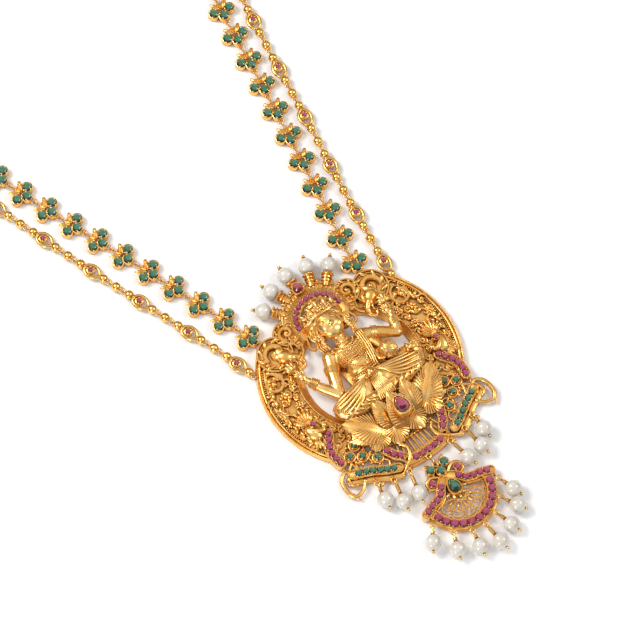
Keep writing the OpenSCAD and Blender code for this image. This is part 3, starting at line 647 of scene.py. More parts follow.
def wear_and_shade_group() -> NodeTree:
    """Colour, roughness and height of brushed cast gold, with painted shade darkening its recesses."""
    tree, n, given, out = shared_group(
        "wear_and_painted_shade",
        [("Open", "Float", 1.0), ("Pale", "Color", (1, 0.8, 0.4, 1)), ("Mid", "Color", (0.9, 0.6, 0.2, 1)),
         ("Deep", "Color", (0.4, 0.2, 0.05, 1)), ("Matte", "Float", 0.4)],
        [("Color", "Color"), ("Roughness", "Float"), ("Height", "Float")])
    place = n.add("ShaderNodeTexCoord").outputs["Object"]
    broad = n.add("ShaderNodeTexNoise", Scale=420.0, Detail=3.0, Roughness=0.55)
    fine = n.add("ShaderNodeTexNoise", Scale=4200.0, Detail=4.0, Roughness=0.6)
    pits = n.add("ShaderNodeTexVoronoi", Scale=2600.0)
    for node in (broad, fine, pits):
        n.link(place, node.inputs["Vector"])
    worn = n.ramp(broad.outputs["Fac"], [(0.3, (0, 0, 0)), (0.72, (1, 1, 1))])
    base = n.mixed(worn, given.outputs["Mid"], given.outputs["Pale"])
    # painted shade: the occlusion value mixes the shade colour into the recesses
    depth = n.ramp(given.outputs["Open"], [(0.18, (0, 0, 0)), (0.78, (1, 1, 1))])
    n.link(n.mixed(depth, given.outputs["Deep"], base), out.inputs["Color"])
    rough = n.maths("ADD", n.maths("MULTIPLY", n.maths("SUBTRACT", fine.outputs["Fac"], 0.5), 0.22),
                    given.outputs["Matte"])
    dulled = n.maths("ADD", rough, n.maths("MULTIPLY", n.maths("SUBTRACT", 1.0, given.outputs["Open"]), 0.2))
    n.link(dulled, out.inputs["Roughness"])
    pitted = n.maths("MULTIPLY", n.maths("MINIMUM", pits.outputs["Distance"], 0.4), 0.5)
    n.link(n.maths("ADD", fine.outputs["Fac"], pitted), out.inputs["Height"])
    return tree


@dataclass(frozen=True)
class GoldFinish:
    """Plated gold: pale where rubbed, orange where flat, with painted shade that turns its recesses brown."""

    name: str
    pale: Point3 = (1.0, 0.64, 0.23)
    mid: Point3 = (0.87, 0.42, 0.075)
    # colour of the painted shade in the recesses
    deep: Point3 = (0.33, 0.095, 0.006)
    matte: float = 0.28
    relief: float = 0.25
    reach: float = 0.0014

    def material(self, group: NodeTree) -> Material:
        """Builds the material on the shared group."""
        made, n, shader = new_material(self.name, Metallic=1.0)
        # ambient occlusion marks the recesses that take the painted shade
        crevice = n.add("ShaderNodeAmbientOcclusion", samples=6, Distance=self.reach)
        hand = n.add("ShaderNodeGroup", node_tree=group)
        for label, colour in (("Pale", self.pale), ("Mid", self.mid), ("Deep", self.deep)):
            hand.inputs[label].default_value = (*colour, 1)
        hand.inputs["Matte"].default_value = self.matte
        n.link(crevice.outputs["AO"], hand.inputs["Open"])
        bump = n.add("ShaderNodeBump", Strength=self.relief, Distance=0.00004)
        n.link(hand.outputs["Height"], bump.inputs["Height"])
        n.link(hand.outputs["Color"], shader.inputs["Base Color"])
        n.link(hand.outputs["Roughness"], shader.inputs["Roughness"])
        n.link(bump.outputs["Normal"], shader.inputs["Normal"])
        return made


@dataclass(frozen=True)
class StoneFinish:
    """A cut stone: painted light makes each facet lighter or darker by the way it faces, with faint clouds
    inside.
    """

    name: str
    light: Point3
    middle: Point3
    dark: Point3
    cloud: float = 900.0
    roughness: float = 0.08

    def material(self) -> Material:
        """Builds the material."""
        made, n, shader = new_material(self.name, Roughness=self.roughness, IOR=1.7, Transmission_Weight=0.25,
                                       Coat_Weight=0.6, Coat_Roughness=0.04)
        # painted light: each facet's normal against one fixed direction sets how light or dark it is
        facet = n.add("ShaderNodeNewGeometry")
        spread = n.add("ShaderNodeVectorMath", operation="DOT_PRODUCT")
        spread.inputs[1].default_value = (0.75, 0.5, 0.3)
        n.link(facet.outputs["True Normal"], spread.inputs[0])
        cloud = n.add("ShaderNodeTexNoise", Scale=self.cloud, Detail=3.0, Roughness=0.6)
        n.link(n.add("ShaderNodeTexCoord").outputs["Object"], cloud.inputs["Vector"])
        # painted glints of the facets, mixed with the real clouds inside the stone
        facet_glint_and_cloud = n.maths("ADD", n.maths("MULTIPLY", spread.outputs["Value"], 0.62),
                        n.maths("MULTIPLY", cloud.outputs["Fac"], 0.42))
        colour = n.ramp(facet_glint_and_cloud, [(0.05, self.dark), (0.36, self.middle), (0.72, self.light)])
        n.link(colour, shader.inputs["Base Color"])
        return made


@dataclass(frozen=True)
class PearlFinish:
    """A round pearl: cream, faintly banded, with a soft lustre."""

    name: str = "cream_pearl"
    cream: Point3 = (0.66, 0.61, 0.53)
    warm: Point3 = (0.60, 0.53, 0.43)
    white: Point3 = (0.71, 0.675, 0.62)

    def material(self) -> Material:
        """Builds the material."""
        made, n, shader = new_material(
            self.name, Specular_IOR_Level=0.6, Coat_Weight=0.9, Coat_Roughness=0.07, Subsurface_Weight=0.05,
            Subsurface_Radius=(0.0012, 0.0010, 0.0008), Sheen_Weight=0.12)
        place = n.add("ShaderNodeTexCoord").outputs["Object"]
        broad = n.add("ShaderNodeTexNoise", Scale=260.0, Detail=2.0)
        fine = n.add("ShaderNodeTexNoise", Scale=1500.0, Detail=3.0)
        n.link(place, broad.inputs["Vector"])
        n.link(place, fine.inputs["Vector"])
        colour = n.ramp(broad.outputs["Fac"], [(0.3, self.warm), (0.5, self.cream), (0.72, self.white)])
        n.link(colour, shader.inputs["Base Color"])
        n.link(
            n.maths("ADD", n.maths("MULTIPLY", fine.outputs["Fac"], 0.12), 0.14), shader.inputs["Roughness"])
        bump = n.add("ShaderNodeBump", Strength=0.12, Distance=0.00005)
        n.link(broad.outputs["Fac"], bump.inputs["Height"])
        n.link(bump.outputs["Normal"], shader.inputs["Normal"])
        return made


class Palette:
    """Every finish of the necklace, built once."""

    def __init__(self) -> None:
        """Builds the materials."""
        group = wear_and_shade_group()
        self.cast = GoldFinish("cast_gold").material(group)
        self.figure = GoldFinish("figure_gold", pale=(1.0, 0.67, 0.27), mid=(0.9, 0.47, 0.10), matte=0.29,
                                 reach=0.0016).material(group)
        self.bright = GoldFinish("polished_gold", pale=(0.97, 0.64, 0.2), mid=(0.86, 0.46, 0.10),
                                 deep=(0.42, 0.16, 0.02), matte=0.22, relief=0.12).material(group)
        # darker gold for the flange and the relief's floor: painted shade under the relief
        self.dark = GoldFinish("shaded_floor_gold", pale=(0.85, 0.5, 0.16), mid=(0.7, 0.36, 0.09),
                               deep=(0.25, 0.1, 0.02), matte=0.42).material(group)
        # light, middle and dark tones of each stone, spread over its facets as painted light and by its
        # clouds
        self.ruby = StoneFinish(
            "pink_ruby", (0.72, 0.17, 0.29), (0.42, 0.03, 0.095), (0.15, 0.004, 0.027)).material()
        self.emerald = StoneFinish(
            "cloudy_emerald", (0.15, 0.42, 0.25), (0.025, 0.165, 0.08), (0.006, 0.045, 0.026)).material()
        self.pearl = PearlFinish().material()


# Putting a piece in place


class Workshop:
    """The bench, the patterns and the finishes, and the last steps of each piece."""

    def __init__(self) -> None:
        """Sets up the patterns and the finishes."""
        self.kit = Kit()
        self.palette = Palette()

    def deliver(self, shapes: Sequence[Object], name: str, nodes: Sequence[str], slot: Slot, finish: Material,
                crease: float = 40.0) -> Object:
        """Joins shapes into one finished piece that stands for those solids.

        Args:
            shapes: the piece's parts, in millimetres.
            name: the piece's name.
            nodes: the solids that it replaces.
            slot: not used.
            finish: its material, for faces that have none yet.
            crease: degrees past which an edge stays sharp; 0 leaves the shading as it is.

        Returns:
            The piece, in metres.
        """
        for shape in shapes:
            if not shape.data.materials:
                shape.data.materials.append(finish)
        piece = Bench.joined(list(shapes))
        if crease > 0:
            Bench.smoothed(piece, crease)
        piece.data.transform(Matrix.Scale(MM, 4))
        piece.name = name
        piece.data.name = name
        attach(piece, "root")
        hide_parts(*nodes)
        Bench.clear()
        LOG.info("%s: %d faces, for %s", name, len(piece.data.polygons), ", ".join(nodes))
        return piece

    def dressed(self, shape: Object, finish: Material) -> Object:
        """Gives a part its own material before it is joined."""
        shape.data.materials.clear()
        shape.data.materials.append(finish)
        return shape

    def balls(self, places: Iterable[Matrix]) -> list[Object]:
        """Small balls at those places."""
        return Bench.copies(self.kit.ball(), places)

    def fine_balls(self, places: Iterable[Matrix]) -> list[Object]:
        """Smooth balls at those places."""
        return Bench.copies(self.kit.fine_ball(), places)

    def grains(self, places: Iterable[Matrix]) -> list[Object]:
        """Grains at those places."""
        return Bench.copies(self.kit.grain(), places)

    def leaves(self, places: Iterable[Matrix]) -> list[Object]:
        """Leaves at those places."""
        return Bench.copies(self.kit.leaf(), places)

    def rosettes(self, places: Iterable[Matrix]) -> list[Object]:
        """Flowers at those places."""
        return Bench.copies(self.kit.rosette(), places)

    def stones(self, seats: Sequence[Point3], diameter: float) -> list[Object]:
        """Round stones with their girdles at the seats."""
        return Bench.copies(self.kit.stone(),
                            [placed(x, y, z, 37 * i, (diameter, diameter, 0.7 * diameter))
                             for i, (x, y, z) in enumerate(seats)])

    def collets(self, seats: Sequence[Point3], diameter: float, depth: float = 1.0) -> list[Object]:
        """Round settings for stones of that diameter, their rims at the seats."""
        return Bench.copies(
            self.kit.collet(),
            [placed(x, y, z, 45 * (i % 2), (diameter, diameter, depth)) for i, (x, y, z) in enumerate(seats)])


# Stones and pearls

SETTING_TOP = 2.4
BAND_TOP = 2.6
GIRDLE_LIFT = 0.17  # mm: from a setting's height to its stone's
SIDE_RUBY_SEATS = hundredths([(66.5, -36), (70, -42), (74, -48), (76, -54.5), (76, -61), (75, -67.5)])
INNER_RUBY_SEATS = hundredths([(32.5, -84), (29.5, -90.5), (25, -96)])
BAR_SEATS = hundredths([(68, -85.5), (61.5, -88.5), (55.5, -91.5), (49.5, -95.5), (44, -99), (38, -102)])
FLORET_SEATS = hundredths([(54, -60.5), (64, -67), (54, -74), (43, -83.5)])
CENTRE_RADIUS = 106.5 * HUNDREDTH
CENTRE_SEATS = arc(CENTRE_RADIUS, -97.8, -82.2, 4)
HALO_CENTRE: Point2 = (0.0, 61.5 * HUNDREDTH)
CROWN_BEARINGS = (135, 112.5, 90, 67.5, 45)
PEACOCK_EYE: Point2 = (73.5 * HUNDREDTH, -22 * HUNDREDTH)
HALO_SEATS = [polar(6.8, 90 + 13.7 * (i - 6), HALO_CENTRE) for i in range(13)]
DROP_SHIFT = -1.2
DROP_HEART: Point2 = (0.0, -158 * HUNDREDTH)
DROP_CENTRE: Point2 = (DROP_SHIFT, DROP_HEART[1])
DROP_PEAR: Point2 = (DROP_SHIFT, -151 * HUNDREDTH)
BAIL_TOP: Point2 = (DROP_SHIFT, -113.5 * HUNDREDTH)
BAIL_FOOT: Point2 = (DROP_SHIFT, -121 * HUNDREDTH)
DROP_ARC_RADIUS = 9.1
DROP_CURL_SEATS = hundredths([(10.5, -144.5), (15, -150), (21.5, -153), (28.5, -154.5), (35, -157)])
DROP_CLUSTER_SEATS = hundredths([(-8, -125), (8, -125), (0, -131)])
DROP_SCROLL_SEATS = hundredths([(-15, -137), (15, -137)])
DROP_ARC_SEATS = arc(DROP_ARC_RADIUS, 196, 344, 10, DROP_CENTRE)
GALLERY_PEARLS = [(-60.5, -106, -63.5, -122), (-45.5, -112.5, -50.5, -134), (-28.5, -115, -34, -136),
                  (22, -114, 25.5, -135.5), (40.5, -112, 42.5, -134), (54.5, -105.5, 54.5, -122)]
DROP_PEARLS = [
    (-45.5, -171, -54.5, -183.5), (-33.5, -188.5, -40, -203), (-17.5, -198, -21, -213.5),
    (-3.5, -201, -2.5, -221), (12, -197.5, 16, -214), (25.5, -188, 32.5, -202), (35.5, -171.5, 39.5, -186.5)]
PEARL_HEIGHT = 2.3
PEARL_RADIUS = 2.3
EYE_STEP = 0.43
EYE_RADIUS = 0.7
EYE_WIRE = 0.18


def both(points: Sequence[Point2]) -> list[Point2]:
    """Points on the right side, then their twins on the left."""
    return [*points, *mirrored(points, Side.LEFT)]


def shifted(points: Iterable[Point2], across: float = DROP_SHIFT) -> list[Point2]:
    """Points moved across by the drop's shift."""
    return [(x + across, y) for x, y in points]


@dataclass
class PearStone:
    """A pear-shaped stone with its point up and three rows of facets."""

    shop: Workshop
    seat: Point3
    length: float
    width: float
    height: float

    def outline(self, grow: float = 1.0, count: int = 18) -> list[Point2]:
        """The girdle's corners round the origin."""
        out = []
        for i in range(count):
            a = math.tau * i / count
            out.append((self.width / 2 * grow * math.sin(a) * (1 - 0.28 * math.cos(a)),
                        self.length / 2 * grow * math.cos(a)))
        return out

    def build(self) -> Object:
        """Extrudes the girdle into a crown with a table and a short pavilion."""
        shape = Bench.plate(self.outline(), -0.15, 0.0, 0)
        for rise, shrink in ((0.5, 0.8), (0.5, 0.62), (-0.5, 0.6)):
            Bench.drawn_out(shape, rise * self.height, shrink)
        Bench.modified(shape, "TRIANGULATE")
        shape.data.transform(Matrix.Translation(self.seat))
        return shape

    def collet(self, rim: float, foot: float) -> list[Object]:
        """The gold setting: a wall that follows the girdle, and grains that hold the stone.

        Args:
            rim: the height of its upper edge.
            foot: the height of its lower edge.

        Returns:
            Its parts.
        """
        x, y, _ = self.seat
        wall = Bench.plate([(x + p[0], y + p[1]) for p in self.outline(1.28, 28)], foot, rim - 0.15, 0.15)
        lip = Bench.wires([[(x + p[0], y + p[1], rim - 0.08)
                            for p in [*self.outline(1.14, 28), self.outline(1.14, 28)[0]]]], 0.2)
        grains = self.shop.balls(
            [placed(x + p[0], y + p[1], rim + 0.06, size=0.24) for p in self.outline(1.07, 6)])
        return [wall, lip, *grains]


class StoneRows:
    """All set stones: one piece for each of the record's nodes of stones."""

    def __init__(self, shop: Workshop) -> None:
        """Takes the shop that makes them."""
        self.shop = shop
        self.halo_pear = PearStone(shop, (0, 98.5 * HUNDREDTH, 4.05), 3.0, 2.7, 1.0)
        self.lotus_pear = PearStone(shop, (0.5 * HUNDREDTH, -62.5 * HUNDREDTH, 10.3), 4.8, 3.46, 1.6)
        self.drop_pear = PearStone(shop, (*DROP_PEAR, 3.1), 4.2, 3.02, 1.3)

    def _round(self, name: str, seats: Sequence[Point2], height: float, diameter: float, slot: Slot) -> None:
        """Delivers one node of round stones with their girdles just over the settings."""
        rows = self.shop.stones(lifted(seats, height + GIRDLE_LIFT), diameter)
        self.shop.deliver(rows, "stones_" + name, [name], slot, self._finish(slot), 0)

    def _finish(self, slot: Slot) -> Material:
        """The finish of that slot's stones."""
        return self.shop.palette.ruby if slot is Slot.RUBY else self.shop.palette.emerald

    def build(self) -> None:
        """Delivers every stone."""
        ruby, emerald = Slot.RUBY, Slot.EMERALD
        self._round("halo_rubies", HALO_SEATS, 3.05, 1.58, ruby)
        self._round("side_band_rubies", both(SIDE_RUBY_SEATS), BAND_TOP + 0.1, 1.92, ruby)
        self._round("gallery_rubies", [*both(INNER_RUBY_SEATS), *CENTRE_SEATS], SETTING_TOP + 0.1, 1.96, ruby)
        self._round("gallery_emeralds", both([*BAR_SEATS, *FLORET_SEATS]), SETTING_TOP + 0.1, 1.81, emerald)
        self._drop_rubies()
        self._round("drop_emeralds", shifted(DROP_CLUSTER_SEATS), SETTING_TOP + 0.05, 2.4, emerald)
        for side in Side:
            self._round("peacock_eye_" + side.name.lower(), [on_side(PEACOCK_EYE, side)], 4.4, 1.5, ruby)
        for name, stone, slot in (
                ("halo_pear_ruby", self.halo_pear, ruby), ("lotus_pear_ruby", self.lotus_pear, ruby),
                ("drop_pear_emerald", self.drop_pear, emerald)):
            self.shop.deliver([stone.build()], "stone_" + name, [name], slot, self._finish(slot), 0)

    def _drop_rubies(self) -> None:
        """Delivers the rubies of the drop, of two sizes."""
        small = self.shop.stones(
            lifted([*shifted(both(DROP_CURL_SEATS)), *shifted(DROP_SCROLL_SEATS)], SETTING_TOP + 0.27), 1.93)
        large = self.shop.stones(lifted(DROP_ARC_SEATS, SETTING_TOP + 0.27), 2.28)
        self.shop.deliver(
            [*small, *large], "stones_drop_rubies", ["drop_rubies"], Slot.RUBY, self.shop.palette.ruby, 0)


@dataclass
class HangingPearls:
    """A fringe of pearls, each on its own wrapped pin."""

    shop: Workshop
    name: str
    table: Sequence[tuple[float, float, float, float]]

    def build(self) -> None:
        """Delivers each pearl and the pins as one piece."""
        parts: list[Object] = []
        for i, (ex, ey, px, py) in enumerate(self.table):
            eye, middle = hundredths([(ex, ey), (px, py)])
            turn = bearing(eye, middle)
            deliver_pearl(self.shop, f"{self.name}_pearl_{i + 1}", middle, turn, i)
            parts += self._pin(eye, middle, turn)
        self.shop.deliver(
            parts, f"pins_{self.name}", [f"{self.name}_pearl_pins"], Slot.GOLD, self.shop.palette.bright)

    def _pin(self, eye: Point2, middle: Point2, turn: float) -> list[Object]:
        """The eye, its wrapped neck, cap, wire through the pearl and ball of one pin."""
        reach = math.dist(eye, middle)
        at = placed(*eye, PEARL_HEIGHT, turn)
        start, top, foot = EYE_STEP + EYE_RADIUS, reach - PEARL_RADIUS, reach + PEARL_RADIUS
        loop = Bench.eye(at @ Matrix.Translation((EYE_STEP, 0, 0)) @ UPRIGHT, EYE_WIRE)
        turns = max(3, round((top - start) / 0.34))
        coil = [(start + (top - start - 0.3) * k / (10 * turns), 0.38 * math.cos(math.tau * k / 10),
                 0.38 * math.sin(math.tau * k / 10)) for k in range(10 * turns + 1)]
        wires = Bench.wires([coil, [(start - 0.1, 0, 0), (foot + 0.2, 0, 0)]], 0.19)
        wires.data.transform(at)
        cap = Bench.turned([(0, 0.02), (0.75, 0.0), (0.6, 0.2), (0.3, 0.38), (0, 0.4)], 14)
        turn_over = Matrix.Rotation(-math.pi / 2, 4, "Y")
        cap.data.transform(at @ Matrix.Translation((top + 0.03, 0, 0)) @ turn_over)
        ball = self.shop.balls([at @ Matrix.Translation((foot + 0.45, 0, 0)) @ Matrix.Scale(0.48, 4)])
        return [loop, wires, cap, *ball]


def deliver_pearl(shop: Workshop, node: str, middle: Point2, turn: float, number: int) -> None:
    """Delivers one drilled pearl, very slightly out of round.

    Args:
        shop: the workshop.
        node: the solid that it replaces.
        middle: where its middle is.
        turn: the bearing of its hole.
        number: its place in its row, which sets how it is out of round.
    """
    hole = 0.35
    profile = [(hole, -math.sqrt(PEARL_RADIUS ** 2 - hole ** 2))]
    profile += [(PEARL_RADIUS * math.cos(math.radians(a)), PEARL_RADIUS * math.sin(math.radians(a)))
                for a in range(-75, 80, 10)]
    profile += [(hole, math.sqrt(PEARL_RADIUS ** 2 - hole ** 2))]
    pearl = Bench.lathe(profile, 32)
    lop = 0.012 * math.sin(2.4 * number + 1)
    wide = Matrix.Diagonal((1 - abs(lop), 1 - 0.4 * abs(lop), 1 + lop - 0.015, 1))
    pearl.data.transform(placed(*middle, PEARL_HEIGHT, turn) @ ALONG_X @ wide)
    shop.deliver([pearl], f"pearl_{node}", [node], Slot.PEARL, shop.palette.pearl, 60)


# The two strands and the back chain

JOINT_HEIGHT = 1.3
LEFT_INNER = [(-17.6, 21.1), (-20, 30), (-25, 46), (-31, 64), (-37, 81), (-43, 99), (-50, 124), (-55, 150),
              (-57, 176), (-57, 201), (-56, 226)]
RIGHT_INNER = [(16.7, 21), (18, 30), (22, 47), (26, 66), (30.5, 88), (34, 107), (39, 132), (42, 156),
               (43, 180), (42, 204), (40, 228)]
LEFT_OUTER = [(-24, 15), (-25.6, 21.5), (-30.8, 37), (-36, 52.5), (-41.2, 68), (-46, 84), (-50, 97),
              (-57, 124), (-61.5, 150), (-63.5, 176), (-63, 201), (-61, 226)]
RIGHT_OUTER = [(22.9, 14.3), (23.8, 20), (26.4, 35.5), (29.6, 51.5), (33, 67.5), (36, 83.5), (39.2, 99),
               (44.6, 124), (48, 148), (49.5, 172), (49.5, 198), (47, 226)]
LEFT_BACK = [(-54, 226), (-44, 243), (-29, 256)]
RIGHT_BACK = [(38, 227), (28, 244), (14, 256)]
CLUSTER_COUNT, CLUSTER_PITCH = 24, 8.3
OVAL_COUNT, BEAD_PITCH, OVAL_REACH = 13, 4.2, 3.8
CLASP_LENGTH = 14.0
CLASP_MIDDLE: Point2 = (-7.5, 260)
CLASP_TURN = 8.0


def inner_joints(route: Sequence[Point2]) -> list[Point2]:
    """The joints of an emerald strand."""
    return marked(smooth(route, 8), [i * CLUSTER_PITCH for i in range(CLUSTER_COUNT + 1)])


def outer_joints(route: Sequence[Point2]) -> list[Point2]:
    """The joints of a bead strand, where oval units and single beads take turns."""
    oval = 2 * (OVAL_REACH + BEAD_PITCH / 2)
    return marked(
        smooth(route, 8), [math.ceil(i / 2) * oval + (i // 2) * BEAD_PITCH for i in range(2 * OVAL_COUNT)])


def link_eyes(length: float, flat_wire: float = EYE_WIRE) -> list[Object]:
    """The eyes at both ends of a unit of that length, the first flat and the second upright."""
    return [Bench.eye(placed(EYE_STEP, 0, JOINT_HEIGHT), flat_wire, 18),
            Bench.eye(placed(length - EYE_STEP, 0, JOINT_HEIGHT) @ UPRIGHT, EYE_WIRE, 18)]


@dataclass
class ClusterStrand:
    """An inner strand: castings of three emeralds under a spray of leaves, joined by eyes."""

    shop: Workshop
    side: Side
    route: Sequence[Point2]
    emerald: float = 2.45
    collet_top: float = 1.85

    def _seats(self) -> list[Point2]:
        """Where the three stones sit, from the joint nearer the pendant."""
        return [(2.58, 0.0), (4.17, -2.3), (4.17, 2.3)]

    def _metal(self) -> list[Object]:
        """The casting: collets, leaves with their ribs, tendrils, stem and eyes."""
        seats = self._seats()
        parts = self.shop.collets(lifted(seats, self.collet_top), self.emerald, 1.75)
        spray = [placed(x, y, 1.75, a, (length, width, 0.9), 5)
                 for x, y, a, length, width in ((4.5, 0.25, 40, 3.3, 1.5), (4.5, -0.25, -40, 3.3, 1.5),
                                                (4.5, 0.0, 14, 2.2, 0.8), (4.5, 0.0, -14, 2.2, 0.8))]
        parts += self.shop.leaves(spray)
        ribs = [[(*polar(0.5, a, (4.5, s * 0.25)), 2.0), (*polar(1.7, a, (4.5, s * 0.25)), 2.4),
                 (*polar(3.0, a, (4.5, s * 0.25)), 2.1)] for s in (1, -1) for a in (s * 33, s * 40, s * 47)]
        parts.append(Bench.wires(ribs, 0.14))
        tendrils = [
            smooth([(2.0, s * 0.4, 1.0), (3.1, s * 1.3, 1.0), (4.1, s * 0.9, 1.0)], 4) for s in (1, -1)]
        parts.append(Bench.wires(tendrils, 0.26))
        stem = smooth([(EYE_STEP + EYE_RADIUS, 0, JOINT_HEIGHT), (2.6, 0, 1.1), (4.5, 0, 1.0)], 3)
        tail = [(5.2, 0, 1.2), (CLUSTER_PITCH - EYE_STEP - EYE_RADIUS, 0, JOINT_HEIGHT)]
        parts.append(Bench.wires([stem, tail], 0.34))
        return parts + link_eyes(CLUSTER_PITCH, EYE_WIRE + 0.03)

    def build(self) -> None:
        """Models one casting with its stones, then copies it along the strand."""
        shop = self.shop
        metal = Bench.smoothed(shop.dressed(Bench.joined(self._metal()), shop.palette.cast), 45)
        gems = shop.dressed(
            Bench.joined(shop.stones(lifted(self._seats(), self.collet_top + 0.12), self.emerald)),
            shop.palette.emerald)
        casting = Bench.joined([metal, gems])
        joints = inner_joints(self.route)
        places = [placed(*a, 0, bearing(a, b), (math.dist(a, b) / CLUSTER_PITCH, 1, 1))
                  for a, b in zip(joints, joints[1:])]
        run = Bench.copies(casting, places)
        Bench.discard(casting)
        name = self.side.name.lower()
        shop.deliver(
            run, f"emerald_strand_{name}", [f"emerald_chain_{name}"], Slot.GOLD, shop.palette.cast, 0)


@dataclass
class BeadStrand:
    """An outer strand: gold beads, with a ruby in an open oval at every fourth place."""

    shop: Workshop
    side: Side
    route: Sequence[Point2]
    bead: float = 2.6

    def _bead(self, x: float) -> Object:
        """A polished bead with a small collar at each end of its hole."""
        body = self.shop.fine_balls([Matrix.Diagonal((self.bead / 2,) * 3 + (1,))])[0]
        collars = [Bench.ring(0.42, 0.16, 14, 6) for _ in range(2)]
        for collar, sign in zip(collars, (1, -1)):
            collar.data.transform(Matrix.Translation((0, 0, sign * (self.bead / 2 - 0.08))))
        bead = Bench.joined([body, *collars])
        bead.data.transform(placed(x, 0, JOINT_HEIGHT) @ ALONG_X)
        return bead

    def _oval(self, middle: float) -> tuple[list[Object], Object]:
        """The open oval with its ruby, and the two beads beside it."""
        rim = [(middle + 2.3 * math.cos(a), 1.68 * math.sin(a), JOINT_HEIGHT)
               for a in (math.tau * k / 32 for k in range(33))]
        frame_wire = Bench.wires([rim], 0.46, 2)
        crescent = Bench.wires([[(middle + 0.1 + 1.25 * math.cos(a), 1.2 * math.sin(a), JOINT_HEIGHT)
                                 for a in (math.radians(-100 + 200 * k / 14) for k in range(15))]], 0.28)
        seat = Bench.lathe(
            [(0.72, 0.25), (0.85, 0.55), (1.12, 0.45), (1.2, -0.6), (0.0001, -0.6), (0.0001, 0.1)], 18)
        seat.data.transform(placed(middle + 0.45, 0, JOINT_HEIGHT + 0.1))
        prongs = self.shop.balls([placed(*polar(0.82, 60 * k, (middle + 0.45, 0)), JOINT_HEIGHT + 0.66,
                                         size=0.25) for k in range(6)])
        struts = Bench.wires([[(middle - 3.8, 0, JOINT_HEIGHT), (middle - 2.1, 0, JOINT_HEIGHT)],
                              [(middle + 1.3, 0, JOINT_HEIGHT), (middle + 3.8, 0, JOINT_HEIGHT)],
                              [(middle + 0.4, -1.6, JOINT_HEIGHT), (middle + 0.4, 1.6, JOINT_HEIGHT)]], 0.25)
        gem = self.shop.stones([(middle + 0.45, 0, JOINT_HEIGHT + 0.66)], 1.55)[0]
        metal = [frame_wire, crescent, seat, *prongs, struts, self._bead(middle - OVAL_REACH),
                 self._bead(middle + OVAL_REACH)]
        return metal, gem

    def build(self) -> None:
        """Models the two units, then copies them by turns along the strand."""
        shop = self.shop
        long_unit = 2 * (OVAL_REACH + BEAD_PITCH / 2)
        metal, gem = self._oval(long_unit / 2)
        units = []
        for parts, length in ((metal + link_eyes(long_unit), long_unit),
                              ([self._bead(BEAD_PITCH / 2), *link_eyes(BEAD_PITCH)], BEAD_PITCH)):
            units.append((Bench.smoothed(shop.dressed(Bench.joined(parts), shop.palette.bright), 50), length))
        shop.dressed(gem, shop.palette.ruby)
        units[0] = (Bench.joined([units[0][0], gem]), long_unit)
        joints = outer_joints(self.route)
        run = []
        for i, (a, b) in enumerate(zip(joints, joints[1:])):
            unit, length = units[i % 2]
            run += Bench.copies(unit, [placed(*a, 0, bearing(a, b), (math.dist(a, b) / length, 1, 1))])
        Bench.discard(units[0][0], units[1][0])
        name = self.side.name.lower()
        shop.deliver(run, f"bead_strand_{name}", [f"bead_chain_{name}"], Slot.GOLD, shop.palette.cast, 0)


@dataclass
class CrownPearls:
    """The five pearls that stand over the halo."""

    shop: Workshop
    distance: float = 15.8

    def build(self) -> None:
        """Delivers each pearl on its own."""
        for i, a in enumerate(CROWN_BEARINGS):
            deliver_pearl(self.shop, f"crown_pearl_{i + 1}", polar(self.distance, a, HALO_CENTRE), a, i + 3)


# Pendant ring with its halo


def strip_outline(path: Sequence[Point2], width: float) -> list[Point2]:
    """The outline of a band of that width along a path."""
    left, right = [], []
    for i, p in enumerate(path):
        a, b = path[max(i - 1, 0)], path[min(i + 1, len(path) - 1)]
        turn = bearing(a, b)
        left.append(polar(width / 2, turn + 90, p))
        right.append(polar(width / 2, turn - 90, p))
    far, near = bearing(path[-2], path[-1]), bearing(path[0], path[1])
    end = [polar(width / 2, far + 90 - 36 * k, path[-1]) for k in range(1, 5)]
    start = [polar(width / 2, near - 90 - 36 * k, path[0]) for k in range(1, 5)]
    return left + end + right[::-1] + start


def along(path: Sequence[Point2], pitch: float) -> list[Point2]:
    """Points spaced evenly along a path."""
    total = sum(math.dist(a, b) for a, b in zip(path, path[1:]))
    count = max(2, round(total / pitch))
    return marked(path, [total * (k + 0.5) / count for k in range(count)])


def sided(parts: Sequence[Object], side: Side) -> list[Object]:
    """The parts as they are on the right, or mirrored on the left."""
    if side is Side.LEFT:
        for part in parts:
            part.data.transform(Matrix.Diagonal((-1, 1, 1, 1)))
            part.data.flip_normals()
    return list(parts)


@dataclass
class JewelBand:
    """A raised band with rounded ends, a plain raised rim and a row of set stones."""

    shop: Workshop
    seats: Sequence[Point2]
    diameter: float
    width: float
    top: float
    lead: Sequence[Point2] = ()
    tail: Sequence[Point2] = ()
    foot: float = 0.05

    def parts(self) -> list[Object]:
        """The band's body, its rim, its settings and its claws."""
        path = [p[:2] for p in smooth([*self.lead, *self.seats, *self.tail], 4)]
        body = Bench.plate(strip_outline(path, self.width), self.foot, self.top - 0.25, 0.18)
        outline = strip_outline(path, self.width - 0.3)
        rails = Bench.wires([lifted([*outline, outline[0]], self.top - 0.14)], 0.25, 1)
        settings = self.shop.collets(lifted(self.seats, self.top + 0.05), self.diameter, 1.1)
        between = [
            ((a[0] + b[0]) / 2, (a[1] + b[1]) / 2, bearing(a, b)) for a, b in zip(self.seats, self.seats[1:])]
        claws = self.shop.balls([placed(*polar(s * 0.42 * self.diameter, t + 90, (x, y)), self.top + 0.3,
                                        size=0.24) for x, y, t in between for s in (1, -1)])
        return [body, rails, *settings, *claws]


